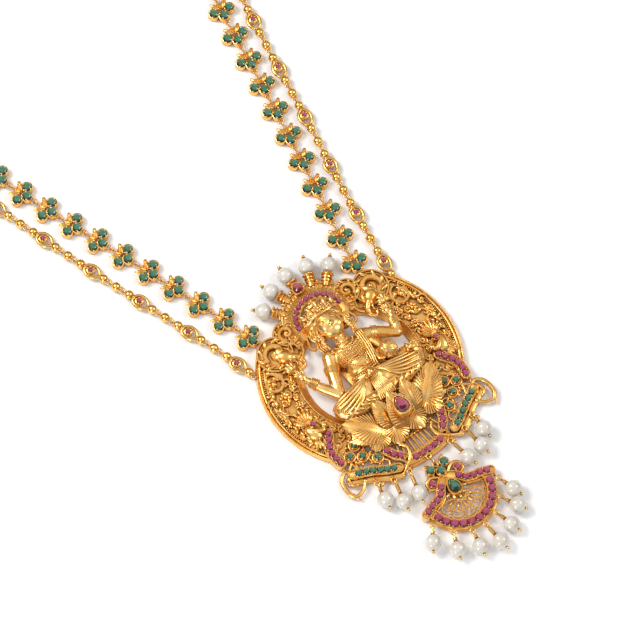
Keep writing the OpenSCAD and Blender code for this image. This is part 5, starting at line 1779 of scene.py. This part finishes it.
        tassels = [self._line([(x, -4.2), (x * 1.15, -6.4)], 0.1, 5) for x in (-3, -2.2, 2.2, 3)]
        buckle = Bench.turned(
            [(0, 0), (1.5, 0), (1.55, 0.5), (1.35, 0.7), (1.15, 0.55), (0.95, 0.9), (0.5, 1.3), (0, 1.4)], 28)
        x, y, z = self._on([(0, -4.3)], -0.1)[0]
        buckle.data.transform(Matrix.Translation((x, y, z)))
        rim = self.shop.grains([placed(*polar(1.38, 18 * k, (x, y)), z + 0.66, size=0.2) for k in range(20)])
        return [Bench.wires(lines, 0.16), Bench.wires(sash, 0.27, 2), Bench.wires(belt, 0.24),
                Bench.wires(tassels, 0.2), *self.shop.balls(balls), *self.shop.rosettes([*leaves, *flowers]),
                buckle, *rim]

    def _cuff(self, at: Point3, toward: Point3, radius: float, wire: float) -> Object:
        """A ring round a limb."""
        ring = Bench.ring(radius, wire, 22, 6)
        turn = (Vector(toward) - Vector(at)).to_track_quat("Z", "Y").to_matrix().to_4x4()
        ring.data.transform(Matrix.Translation(at) @ turn)
        return ring

    def _cuffs(self) -> list[Object]:
        """Armlets and bangles."""
        out = []
        runs = [((-6.8, 3.7, 3.55), (-7.8, 1.6, 3.7), 2.12, 5),
                ((-13.0, 2.2, 3.95), (-14.4, 5.2, 4.0), 1.5, 5), ((7.9, 5.2, 3.6), (9.8, 4.2, 3.7), 2.05, 4),
                ((14.7, 3.6, 3.92), (15.3, 6.4, 4.0), 1.5, 5), ((10.9, -4.4, 4.7), (13.0, -4.4, 4.9), 1.2, 4)]
        for at, toward, radius, count in runs:
            step = (Vector(toward) - Vector(at)).normalized() * 0.42
            for k in range(count):
                spot = Vector(at) + step * k
                out.append(self._cuff(tuple(spot), tuple(spot + step), radius - 0.06 * k, 0.24))
        return out

    def _hand(self, wrist: Point3, turn: float, side: int, curl: float = 0.0) -> list[Object]:
        """A hand: palm, four tapering fingers and a thumb.

        Args:
            wrist: where it joins the arm.
            turn: the bearing of its fingers.
            side: 1 or -1, the side of its thumb.
            curl: how far the fingertips dip.

        Returns:
            Its parts.
        """
        x, y, z = wrist
        palm = [placed(*polar(0.75, turn, (x, y)), z + 0.25, turn, (1.15, 0.95, 0.6))]
        fingers = []
        for k in range(4):
            spread = turn + 11 * (k - 1.5)
            fingers.append(
                smooth([(*polar(1.2, spread, (x, y)), z + 0.3), (*polar(2.2, spread + 2, (x, y)), z + 0.45),
                        (*polar(3.0 - 0.14 * abs(k - 1.5), spread + 4, (x, y)), z + 0.35 - curl)], 3))
        thumb = smooth([(*polar(0.6, turn + side * 60, (x, y)), z + 0.3),
                        (*polar(1.5, turn + side * 48, (x, y)), z + 0.5),
                        (*polar(2.1, turn + side * 34, (x, y)), z + 0.45)], 3)
        return [*self.shop.fine_balls(palm), Bench.wires([*fingers, thumb], lambda t: 0.36 - 0.14 * t, 2)]

    def _bloom(self, at: Point3, turn: float) -> list[Object]:
        """A lotus bud on a short stem, held in a raised hand."""
        base = polar(-1.4, turn, at)
        petals = [placed(*base, at[2] + lift, turn + a, (length, 1.3, 0.95), 5)
                  for a, length, lift in (
                      (-48, 2.3, -0.1), (48, 2.3, -0.1), (-26, 2.8, 0.15), (26, 2.8, 0.15), (0, 3.0, 0.45))]
        stem = smooth(
            [(*polar(-4.2, turn, at), at[2] - 0.3), (*polar(-2.6, turn + 8, at), at[2]), (*base, at[2])], 4)
        return [*self.shop.leaves(petals), Bench.wires([stem], 0.28)]

    def _pot(self) -> list[Object]:
        """The pot that lies on its side with its mouth to the front, and the bangle beside it."""
        profile = [(0, 0.9), (1.05, 0.9), (1.15, 0.1), (1.5, -0.15), (1.8, 0.15), (1.65, 0.5), (1.2, 0.8),
                   (1.15, 1.2), (2.2, 2.0), (2.85, 3.2), (2.75, 4.4), (1.9, 5.5), (0, 5.9)]
        pot = Bench.turned(profile, 40)
        ribs = Bench.wires([smooth([(*polar(1.5, a), 1.45), (*polar(2.25, a + 4), 2.0),
                                    (*polar(2.9, a + 9), 3.2)], 3) for a in range(0, 360, 15)], 0.12)
        rings = []
        for height, radius in ((0.75, 1.35), (1.2, 1.25), (3.2, 2.9), (3.7, 2.88)):
            ring = Bench.ring(radius, 0.17, 32, 6)
            ring.data.transform(Matrix.Translation((0, 0, height)))
            rings.append(ring)
        grains = self.shop.grains([placed(*polar(2.95, 12 * k), 3.45, size=0.22) for k in range(30)])
        group = Bench.joined([pot, ribs, *rings, *grains])
        group.data.transform(placed(5.3, -2.0, 7.6, 4) @ Matrix.Rotation(math.radians(127), 4, "Y"))
        bangle = self._cuff((12.5, -4.4, 5.0), (13.6, -4.8, 5.0), 1.7, 0.3)
        return [group, bangle]

    def _dress(self) -> list[Object]:
        """Fold lines round the legs, the fan of pleats, beaded hems and the toes."""
        folds, hems, balls = [], [], []
        for s, knee in ((-1, -11.8), (1, 12.6)):
            for k in range(6):
                folds.append(
                    self._line([(s * (1.7 + 0.3 * k), -4.3 - 0.3 * k), (s * (5.0 + 0.1 * k), -4.6 - 0.85 * k),
                                (s * (9.0 - 0.1 * k), -5.3 - 1.02 * k),
                                (knee + s * (1.9 - 0.42 * k), -5.8 - 1.08 * k)], 0.1))
            for k in range(5):
                folds.append(
                    self._line([(knee - s * (0.2 + 1.9 * k), -9.9), (knee - s * (1.3 + 1.9 * k), -10.9),
                                (knee - s * (2.6 + 1.9 * k), -11.7)], 0.07))
            hems.append(self._line([(knee + s * 1.9, -7.0), (knee + s * 1.6, -9.6), (knee * 0.75, -11.6),
                                    (s * 2.8, -12.4)], 0.05))
            balls += self._chain_of(
                [(knee + s * 1.2, -6.2), (knee + s * 1.0, -8.6), (knee - s * 1.0, -10.4)], 0.6, 0.24)
        pleats = [smooth([(0.25 * k, -5.9, 7.2), (0.42 * k, -8.0, 7.9), (0.52 * k, -10.4, 8.0),
                          (0.58 * k, -12.3, 6.8)], 5) for k in range(-4, 5)]
        toes = [placed(s * (2.4 + 0.52 * k), -12.3 + 0.12 * k, 6.0 - 0.18 * k, 0, (0.3, 0.42, 0.3))
                for s in (1, -1) for k in range(5)]
        feet = [placed(s * 3.4, -11.5, 5.5, 0, (1.9, 1.0, 0.9)) for s in (1, -1)]
        return [Bench.wires(folds, lambda t: 0.18 + 0.36 * math.sin(math.pi * t) ** 0.8, 2),
                Bench.wires(hems, 0.22), Bench.wires(pleats, lambda t: 0.2 + 0.22 * t, 2),
                *self.shop.balls([*balls, *toes]), *self.shop.fine_balls(feet)]

    def build(self) -> None:
        """Delivers the figure."""
        self.body = self._flesh()
        bpy.context.view_layer.update()
        details = self._face() + self._hair() + self._crown() + self._jewels() + self._cuffs()
        details += self._pot() + self._dress()
        details += self._hand((-14.5, 5.6, 4.2), 112, -1) + self._hand((15.4, 6.8, 4.2), 96, 1)
        details += self._hand((13.2, -4.4, 5.0), -22, 1, 0.5)
        details += self._bloom((-15.8, 10.4, 4.6), 104) + self._bloom((16.2, 11.2, 4.6), 84)
        seat = Bench.plate(hundredths([(-15, -38), (15, -38), (19, 15), (-19, 15)]), 0.0, 1.2, 0.2)
        self.shop.deliver([self.body, *details, seat], "seated_figure", ["goddess_figure"], Slot.GOLD,
                          self.shop.palette.figure, 55)


# Lower gallery and drop


def raised(points: Iterable[Point3]) -> list[Point3]:
    """Points in hundredths of the ring's radius, all three numbers scaled."""
    return [(x * HUNDREDTH, y * HUNDREDTH, z * HUNDREDTH) for x, y, z in points]


@dataclass
class Openwork:
    """What the gallery and the drop share: sprigs, curls, eyes and settings on posts."""

    shop: Workshop

    def eye(self, at: Point2, turn: float, stem: float = 1.5, foot: float = 1.2) -> list[Object]:
        """A flat eye that carries a pearl's pin, with the stub that solders it on."""
        ring = Bench.eye(placed(*polar(-EYE_STEP, turn, at), PEARL_HEIGHT), EYE_WIRE + 0.03)
        near, far = polar(-EYE_STEP - EYE_RADIUS, turn, at), polar(-EYE_STEP - EYE_RADIUS - stem, turn, at)
        return [ring,
                Bench.wires([smooth([(*near, PEARL_HEIGHT), (*polar(-0.5, turn, near), PEARL_HEIGHT - 0.1),
                                     (*far, foot)], 3)], 0.3)]

    def sprig(self, at: Point2, height: float, turns: Sequence[float], length: float, width: float = 0.95,
              start: float = 0.8) -> list[Object]:
        """Small ribbed leaves that point away from a spot."""
        places = [placed(*polar(start, a, at), height, a, (length, width, 0.7), 4) for a in turns]
        return self.shop.leaves(places)

    def curl(self, path: Sequence[Point3], wire: float, ball: float) -> list[Object]:
        """A wire that swells along its run and ends in a ball."""
        fine = smooth(list(path), 6)
        line = Bench.wires(
            [fine], lambda t: wire * (0.6 + 0.55 * math.sin(math.pi * min(1, 0.15 + 0.8 * t))), 2)
        x, y, z = fine[-1]
        return [line, *self.shop.balls([placed(x, y, z + 0.1, size=ball)])]

    def scroll(self, centre: Point2, radius: float, start: float, sweep: float, height: float,
               wire: float = 0.34) -> list[Object]:
        """A flat spiral wire with a ball at its heart."""
        path = lifted(spiral(centre, radius, start, sweep), height)
        return [
            Bench.wires([path], wire), *self.shop.balls([placed(*centre, height + 0.1, size=wire * 1.35)])]


@dataclass
class LowerGallery(Openwork):
    """The apron under the ring: jewelled bands, florets, curls, the middle's fan and the eyes."""

    def _bands(self) -> list[Object]:
        """The right side's ruby band and emerald bar with its flange."""
        inner = JewelBand(self.shop, INNER_RUBY_SEATS, 1.8, 2.6, SETTING_TOP, lead=hundredths([(35.5, -78)]),
                          tail=hundredths([(22, -100.5)]))
        bar = JewelBand(self.shop, BAR_SEATS, 1.75, 2.6, SETTING_TOP, lead=hundredths([(73, -83)]),
                        tail=hundredths([(33.5, -104)]))
        edge = [p[:2]
                for p in smooth(
                    [(x * 1.062, y * 1.062)
                     for x, y in hundredths([(75, -83), (68, -86), (61.5, -89), (55.5, -92), (49.5, -96),
                                             (44, -99.5), (38, -102.5), (33, -105)])], 3)]
        flange = Bench.plate(strip_outline(edge, 1.5), 0.05, 1.75, 0.35)
        lip = Bench.wires([lifted([(x * 1.02, y * 1.02) for x, y in edge], 1.3)], 0.38, 2)
        return [*inner.parts(), *bar.parts(), flange, lip]

    def _florets(self) -> list[Object]:
        """Four emerald settings on posts, with their leaves and scrolled stems."""
        parts = self.shop.collets(lifted(FLORET_SEATS, SETTING_TOP + 0.05), 1.75, 2.3)
        for i, seat in enumerate(FLORET_SEATS):
            loop = arc(1.42, 50 * i, 50 * i + 360, 26, seat)
            parts.append(Bench.wires([lifted(loop, 1.75)], 0.33, 2))
            parts += self.sprig(seat, 1.35, [25 + 180 * k + 50 * i for k in range(2)], 1.5, 0.85, 1.3)
        stems = [[(74, -78), (66, -72), (58, -63)], [(62, -86), (66, -76), (66, -66)],
                 [(54, -90), (46, -90), (42, -80), (54, -73)], [(40, -98), (36, -92), (42, -84)],
                 [(48, -60), (48, -68), (54, -74)], [(72, -66), (76, -74), (70, -80), (64, -78)],
                 [(36, -76), (44, -74), (50, -79), (47, -86)]]
        for stem in stems:
            line = [p[:2] for p in smooth(hundredths(stem), 6)]
            parts.append(Bench.wires([lifted(line, 1.3)], 0.4, 2))
            end = polar(1.1, bearing(line[-2], line[-1]), line[-1])
            parts += self.scroll(end, 0.95, bearing(end, line[-1]), 420, 1.35, 0.3)
        return parts

    def _curls(self) -> list[Object]:
        """The outer double curl and the swoosh that frames the middle."""
        outer = raised([(70, -84, 6), (77, -77, 6), (85, -82, 5.5), (87, -94, 5), (83, -102, 4.5),
                        (74, -101, 5), (67, -95, 6)])
        inner = raised([(72, -89, 6), (78, -84, 6.5), (79, -91, 6), (75, -94, 6)])
        tip = raised([(84, -98, 4.5), (83, -104, 4), (80.5, -108, 3.5)])
        swoosh = raised(
            [(48, -109, 4), (38, -112, 4), (27, -108, 5.5), (18, -101, 7.5), (15, -92, 8.5), (19, -86, 8.5)])
        parts = self.curl(outer, 0.58, 0.66) + self.curl(inner, 0.42, 0.45)
        parts.append(Bench.wires([smooth(tip, 4)], lambda t: 0.45 - 0.3 * t, 2))
        parts.append(
            Bench.wires([smooth(swoosh, 6)], lambda t: 0.34 + 0.3 * math.sin(math.pi * (0.1 + 0.7 * t)), 2))
        leaf = [placed(x * HUNDREDTH, y * HUNDREDTH, 1.4, a, (2.4, 1.2, 0.9), 4)
                for x, y, a in ((52, -106, -20), (24, -107, -75))]
        return parts + self.shop.leaves(leaf)

    def _middle(self) -> list[Object]:
        """The fan of bars and the ruby band over the drop, with its engraved wall."""
        band = JewelBand(self.shop, CENTRE_SEATS, 1.8, 2.7, SETTING_TOP, lead=[polar(CENTRE_RADIUS, -101.7)],
                         tail=[polar(CENTRE_RADIUS, -78.3)])
        wall = Bench.plate(strip_outline(arc(CENTRE_RADIUS + 0.9, -103, -77, 20), 1.9), 0.05, 1.9, 0.2)
        strokes = [[(*polar(CENTRE_RADIUS + 1.88, a), 0.25), (*polar(CENTRE_RADIUS + 1.72, a + 0.8), 1.85)]
                   for a in (-102.4 + 1.15 * k for k in range(22))]
        bars = [[(*polar(84 * HUNDREDTH, a), 1.2), (*polar(94 * HUNDREDTH, a), 1.7),
                 (*polar(102 * HUNDREDTH, a), 1.5)] for a in (-90 + 2.9 * k for k in range(-5, 6))]
        rails = [
            lifted(arc(r * HUNDREDTH, a, -180 - a, 30), z) for r, a, z in ((84, -119, 1.2), (100, -105, 1.3))]
        caps = self.shop.balls(
            [placed(*polar(84.5 * HUNDREDTH, -90 + 2.9 * k), 1.5, size=0.42) for k in range(-5, 6)])
        return [*band.parts(), wall, Bench.wires(strokes, 0.13), Bench.wires(bars, 0.4),
                Bench.wires(rails, 0.45), *caps]

    def build(self) -> None:
        """Delivers the gallery."""
        parts = self._middle()
        for side in Side:
            parts += sided(self._bands() + self._florets() + self._curls(), side)
        for ex, ey, px, py in GALLERY_PEARLS:
            eye, middle = hundredths([(ex, ey), (px, py)])
            parts += self.eye(eye, bearing(eye, middle))
        parts += self.eye(BAIL_TOP, -90, 1.4, 1.4)
        self.shop.deliver(parts, "gallery", ["lower_gallery"], Slot.GOLD, self.shop.palette.cast, 50)


@dataclass
class DropBail(Openwork):
    """The link of two upright eyes that carries the drop."""

    def build(self) -> None:
        """Delivers the link."""
        top, foot = BAIL_TOP[1] - EYE_STEP, BAIL_FOOT[1] + EYE_STEP
        parts = [Bench.eye(placed(DROP_SHIFT, y, PEARL_HEIGHT, 90) @ UPRIGHT, EYE_WIRE) for y in (top, foot)]
        parts.append(Bench.wires([[(DROP_SHIFT, top - EYE_RADIUS + 0.1, PEARL_HEIGHT),
                                   (DROP_SHIFT, foot + EYE_RADIUS - 0.1, PEARL_HEIGHT)]], 0.2))
        self.shop.deliver(parts, "drop_link", ["drop_bail"], Slot.GOLD, self.shop.palette.bright)


@dataclass
class DropFrame(Openwork):
    """The drop: an emerald trio, ruby curls, the pear's setting, filigree and the ruby arc."""

    def _side(self) -> list[Object]:
        """The right half's curls, before the drop's shift."""
        curl = JewelBand(self.shop, DROP_CURL_SEATS, 1.7, 2.5, SETTING_TOP, lead=hundredths([(4, -139)]),
                         tail=hundredths([(38.5, -158.5)]))
        hook = raised([(4, -136, 6), (12, -131, 6.5), (18.5, -133, 6.5), (19.5, -140, 6), (13, -142.5, 6)])
        parts = [*curl.parts(), *self.curl(hook, 0.5, 0.42)]
        under = [p[:2] for p in smooth(hundredths([(8, -147), (14, -155), (22, -158.5), (32, -161)]), 5)]
        parts.append(Bench.wires([lifted(under, 1.5)], 0.42, 2))
        parts += self.sprig((7.6, -38.6), 1.5, (10, 55, 100), 2.0, 1.0, 0.9)
        return parts

    def _filigree(self) -> list[Object]:
        """The see-through half-disc: five pear-shaped cells with curls, ribs and arcs."""
        parts, lines = [], []
        for k in range(5):
            a = 200 + 32 * k
            middle = polar(4.55, a, DROP_HEART)
            cell = []
            for i in range(25):
                b = math.tau * i / 24
                along_axis, across = 2.35 * math.cos(b), 1.5 * math.sin(b) * (1 + 0.33 * math.cos(b))
                x, y = polar(along_axis, a, middle)
                cell.append((*polar(across, a + 90, (x, y)), 1.35))
            lines.append(cell)
            parts += self.scroll(polar(0.5, a, middle), 0.95, a, 400, 1.3, 0.2)
            parts += self.shop.leaves([placed(*polar(-1.9, a, middle), 1.3, a, (1.7, 0.7, 0.6), 3)])
        ribs = [[(*polar(1.2, a, DROP_HEART), 1.25), (*polar(7.6, a, DROP_HEART), 1.25)]
                for a in (184, 216, 248, 324, 356, 280, 312)]
        arcs = [lifted(arc(r, 184, 356, 34, DROP_HEART), 1.3) for r in (1.9, 7.4)]
        parts += [Bench.wires(lines, 0.24), Bench.wires(ribs, 0.18), Bench.wires(arcs, 0.3)]
        tips = [placed(*polar(7.1, 184 + 32 * k, DROP_HEART), 1.4, size=0.36) for k in range(6)]
        return parts + self.shop.balls(tips)

    def _arc(self) -> list[Object]:
        """The ruby arc with its low outer rim."""
        seats = [(x - DROP_SHIFT, y) for x, y in DROP_ARC_SEATS]
        band = JewelBand(
            self.shop, seats, 1.85, 2.65, SETTING_TOP, lead=[polar(DROP_ARC_RADIUS, 186, DROP_HEART)],
            tail=[polar(DROP_ARC_RADIUS, 354, DROP_HEART)])
        rim = Bench.plate(strip_outline(arc(10.35, 187, 353, 48, DROP_HEART), 0.7), 0.05, 1.0, 0.2)
        return [*band.parts(), rim]

    def build(self) -> None:
        """Delivers the drop's metal."""
        top = SETTING_TOP + 0.05
        cluster = self.shop.collets(lifted(DROP_CLUSTER_SEATS, top), 2.2, 2.3)
        scrolls = self.shop.collets(lifted(DROP_SCROLL_SEATS, top), 1.7, 2.3)
        stem = Bench.wires([[(0, -33.6, 1.1), (0, -36, 1.3), (0, -40.2, 1.2)]], 0.55)
        parts = [*cluster, *scrolls, stem, *self._filigree(), *self._arc()]
        parts += self.sprig((0, -35.4), 1.5, (35, 145, -25, 205), 2.6, 1.2, 1.5)
        for side in Side:
            parts += sided(self._side(), side)
        for part in parts:
            part.data.transform(Matrix.Translation((DROP_SHIFT, 0, 0)))
        parts += StoneRows(self.shop).drop_pear.collet(3.15, 0.1)
        parts += self.sprig(DROP_PEAR, 1.7, (-20, -55, -90, -125, 200), 2.0, 1.1, 1.7)
        for ex, ey, px, py in DROP_PEARLS:
            eye, middle = hundredths([(ex, ey), (px, py)])
            parts += self.eye(eye, bearing(eye, middle), 0.9, 1.3)
        parts += self.eye(BAIL_FOOT, 90, 0.9, 1.3)
        self.shop.deliver(parts, "drop", ["drop_frame"], Slot.GOLD, self.shop.palette.cast, 50)


def strand_end(joints: Sequence[Point2]) -> tuple[Point2, float]:
    """A strand's last joint and its bearing there."""
    return joints[-1], bearing(joints[-2], joints[-1])


END_CLEARANCE = 0.3  # mm: what the back chain's route keeps from the plate and the clasp


@dataclass
class BackRun:
    """The back of one side: the end plate that gathers the strands, and the plain link chain."""

    shop: Workshop
    side: Side
    first: Sequence[Point2]
    second: Sequence[Point2]
    back: Sequence[Point2]
    link_pitch: float = 2.5

    def _end(self) -> tuple[Point2, float]:
        """The middle of the plate's far edge and its bearing."""
        (a, ta), (b, tb) = strand_end(self.first), strand_end(self.second)
        turn = (ta + tb) / 2
        return polar(6, turn, ((a[0] + b[0]) / 2, (a[1] + b[1]) / 2)), turn

    def _plate(self) -> None:
        """Delivers the end plate: a triangle with a wire border and its eyes."""
        (a, ta), (b, tb) = strand_end(self.first), strand_end(self.second)
        end, turn = self._end()
        base = [polar(1.8, ta, a), polar(1.8, tb, b)]
        outline = [polar(1.0, turn - 90, base[0]), polar(2.2, turn, polar(1.3, turn - 90, end)),
                   polar(2.2, turn, polar(1.3, turn + 90, end)), polar(1.0, turn + 90, base[1])]
        low, high = JOINT_HEIGHT - 0.7, JOINT_HEIGHT + 0.55
        plate = Bench.plate(outline, low, high, 0.2)
        border = Bench.wires([[(*p, high + 0.05) for p in [*outline, outline[0]]]], 0.24)
        middle = (sum(p[0] for p in outline) / 4, sum(p[1] for p in outline) / 4)
        flower = self.shop.rosettes([placed(*middle, high + 0.1, turn, (1.3, 1.3, 1.0))])
        curls = [Bench.wires([lifted(spiral(polar(2.4, turn + 180 + s * 62, middle), 0.9, turn + s * 90,
                                            s * 400), high + 0.1)], 0.16) for s in (1, -1)]
        eyes = []
        for joint, direction in ((a, ta), (b, tb)):
            eye = Bench.eye(placed(*polar(EYE_STEP, direction, joint), JOINT_HEIGHT), EYE_WIRE + 0.02, 18)
            eyes += [eye,
                     Bench.wires([[(*polar(EYE_STEP + EYE_RADIUS, direction, joint), JOINT_HEIGHT),
                                   (*polar(3.2, direction, joint), JOINT_HEIGHT)]], 0.42)]
        name = self.side.name.lower()
        self.shop.deliver([plate, border, *flower, *curls, *eyes], f"end_plate_visual_{name}",
                          [f"end_plate_{name}"], Slot.GOLD, self.shop.palette.cast)

    def _link(self) -> Object:
        """One oval link that lies flat along X."""
        link = Bench.ring(0.85, 0.27, 20, 8)
        return Bench.reshaped(
            link, lambda p: (p.x + (0.62 if p.x > 0 else -0.62) * min(abs(p.x) / 0.35, 1), p.y, p.z))

    def _chain(self) -> None:
        """Delivers the plain chain of oval links from the plate to the clasp."""
        end, turn = self._end()
        stop = polar(self.side.value * (CLASP_LENGTH / 2 + END_CLEARANCE), CLASP_TURN, CLASP_MIDDLE)
        path = smooth([polar(END_CLEARANCE + 2.2, turn, end), polar(8, turn, end), *self.back, stop], 3)
        length = sum(math.dist(p, q) for p, q in zip(path, path[1:]))
        count = round(length / self.link_pitch) - 1
        pitch = (length - 1.6) / count
        marks = marked(path, [0.8 + pitch * k for k in range(count + 1)])
        link = self._link()
        places = []
        for k, (p, q) in enumerate(zip(marks, marks[1:])):
            middle = ((p[0] + q[0]) / 2, (p[1] + q[1]) / 2)
            roll = Matrix.Rotation(math.radians(45 if k % 2 else -45), 4, "X")
            places.append(placed(*middle, JOINT_HEIGHT, bearing(p, q)) @ roll)
        links = Bench.copies(link, places)
        Bench.discard(link)
        name = self.side.name.lower()
        self.shop.deliver(
            links, f"link_chain_{name}", [f"back_chain_{name}"], Slot.GOLD, self.shop.palette.bright, 60)

    def build(self) -> None:
        """Delivers the plate and the chain."""
        self._plate()
        self._chain()


@dataclass
class Clasp:
    """The barrel clasp, closed: a fluted barrel between two ringed caps."""

    shop: Workshop
    length: float = CLASP_LENGTH
    radius: float = 2.0

    def build(self) -> None:
        """Turns the barrel and lays its rings and flutes."""
        half = self.length / 2
        barrel = Bench.turned(
            [(0, -half), (0.9, -half), (1.2, -half + 0.4), (1.15, -half + 1.5), (1.7, -half + 2.4),
             (1.9, -half + 3), (1.86, 0), (1.9, half - 3), (1.7, half - 2.4), (1.15, half - 1.5),
             (1.2, half - 0.4), (0.9, half), (0, half)], 36)
        rings = []
        for height, radius in (
                (0, 1.86), (-half + 3, 1.82), (half - 3, 1.82), (-half + 1.2, 1.1), (half - 1.2, 1.1)):
            ring = Bench.ring(radius, 0.16, 36, 8)
            ring.data.transform(Matrix.Translation((0, 0, height)))
            rings.append(ring)
        flutes = Bench.wires([[(1.84 * math.cos(a), 1.84 * math.sin(a), z) for z in (-3.6, 0, 3.6)]
                              for a in (math.tau * k / 20 for k in range(20))], 0.12)
        whole = Bench.joined([barrel, *rings, flutes])
        whole.data.transform(placed(*CLASP_MIDDLE, self.radius, CLASP_TURN) @ ALONG_X)
        self.shop.deliver([whole], "barrel_clasp", ["clasp"], Slot.GOLD, self.shop.palette.bright)


# Table, light and camera


@dataclass(frozen=True)
class Studio:
    """A pale table under soft light, seen from the photograph's angle with a long lens."""

    azimuth: float = -37.5
    elevation: float = 68.4
    distance: float = 1.8
    width: float = 0.1728
    target: Point3 = (-0.0002, 0.0175, 0.0012)

    def _table(self) -> None:
        """The table, which the necklace rests on."""
        Bench.clear()
        bpy.ops.mesh.primitive_plane_add(size=6, location=(0, 0, -0.00005))
        table = bpy.context.object
        table.name = "table"
        paper, n, shader = new_material("pale_paper", Roughness=0.75, Specular_IOR_Level=0.2)
        grain = n.add("ShaderNodeTexNoise", Scale=1800.0, Detail=3.0)
        n.link(n.add("ShaderNodeTexCoord").outputs["Object"], grain.inputs["Vector"])
        n.link(n.ramp(grain.outputs["Fac"], [(0.3, (0.91, 0.91, 0.91)), (0.7, (0.93, 0.93, 0.93))]),
               shader.inputs["Base Color"])
        table.data.materials.append(paper)

    def _lamp(self, name: str, place: Point3, size: float, power: float) -> None:
        """A square soft lamp that points at the pendant."""
        Bench.clear()
        bpy.ops.object.light_add(type="AREA", location=place)
        lamp = bpy.context.object
        lamp.name = name
        lamp.data.size = size
        lamp.data.energy = power
        lamp.rotation_euler = (Vector(self.target) - Vector(place)).to_track_quat("-Z", "Y").to_euler()

    def build(self) -> None:
        """Sets up the table, the lamps, the room's light and the camera."""
        self._table()
        self._lamp("key_softbox", (-0.35, 0.55, 0.75), 0.36, 5.6)
        self._lamp("fill_softbox", (0.6, -0.35, 0.7), 0.4, 2.6)
        self._lamp("low_strip", (-0.6, -0.3, 0.25), 0.25, 1.6)
        world = bpy.data.worlds.new("studio_room")
        world.use_nodes = True
        n = Nodes(world.node_tree)
        split = n.add("ShaderNodeSeparateXYZ")
        n.link(n.add("ShaderNodeTexCoord").outputs["Generated"], split.inputs[0])
        sky = n.ramp(
            split.outputs["Z"], [(0.0, (0.12, 0.11, 0.10)), (0.35, (0.3, 0.29, 0.28)), (0.75, (1, 1, 1))])
        background = world.node_tree.nodes["Background"]
        n.link(sky, background.inputs["Color"])
        background.inputs["Strength"].default_value = 0.72
        bpy.context.scene.world = world
        bpy.context.scene.view_settings.view_transform = "Standard"
        a, e = math.radians(self.azimuth), math.radians(self.elevation)
        back = Vector((math.sin(a) * math.cos(e), -math.cos(a) * math.cos(e), math.sin(e)))
        bpy.ops.object.camera_add(location=Vector(self.target) + back * self.distance,
                                  rotation=back.to_track_quat("Z", "Y").to_euler())
        camera = bpy.context.object
        camera.name = "photo_camera"
        camera.data.sensor_width = 36
        camera.data.lens = 36 * self.distance / self.width
        camera.data.clip_start = 0.05
        camera.data.clip_end = 20
        bpy.context.scene.camera = camera


def sub_assemblies(shop: Workshop) -> list[object]:
    """The sub-assemblies in the order that they are built."""
    left, right = inner_joints(LEFT_INNER), inner_joints(RIGHT_INNER)
    left_out, right_out = outer_joints(LEFT_OUTER), outer_joints(RIGHT_OUTER)
    return [StoneRows(shop), PendantRing(shop), Lotus(shop), SeatedFigure(shop), LowerGallery(shop),
            DropBail(shop), DropFrame(shop), HangingPearls(shop, "gallery", GALLERY_PEARLS),
            HangingPearls(shop, "drop", DROP_PEARLS), CrownPearls(shop),
            ClusterStrand(shop, Side.LEFT, LEFT_INNER), ClusterStrand(shop, Side.RIGHT, RIGHT_INNER),
            BeadStrand(shop, Side.LEFT, LEFT_OUTER), BeadStrand(shop, Side.RIGHT, RIGHT_OUTER),
            BackRun(shop, Side.LEFT, left, left_out, LEFT_BACK),
            BackRun(shop, Side.RIGHT, right_out, right, RIGHT_BACK), Clasp(shop)]


def main() -> None:
    """Builds every sub-assembly in order, then the studio."""
    logging.basicConfig(level=logging.INFO, format="%(message)s")
    shop = Workshop()
    for part in sub_assemblies(shop):
        part.build()
    shop.kit.clear()
    Studio().build()


if __name__ == "__main__":
    main()
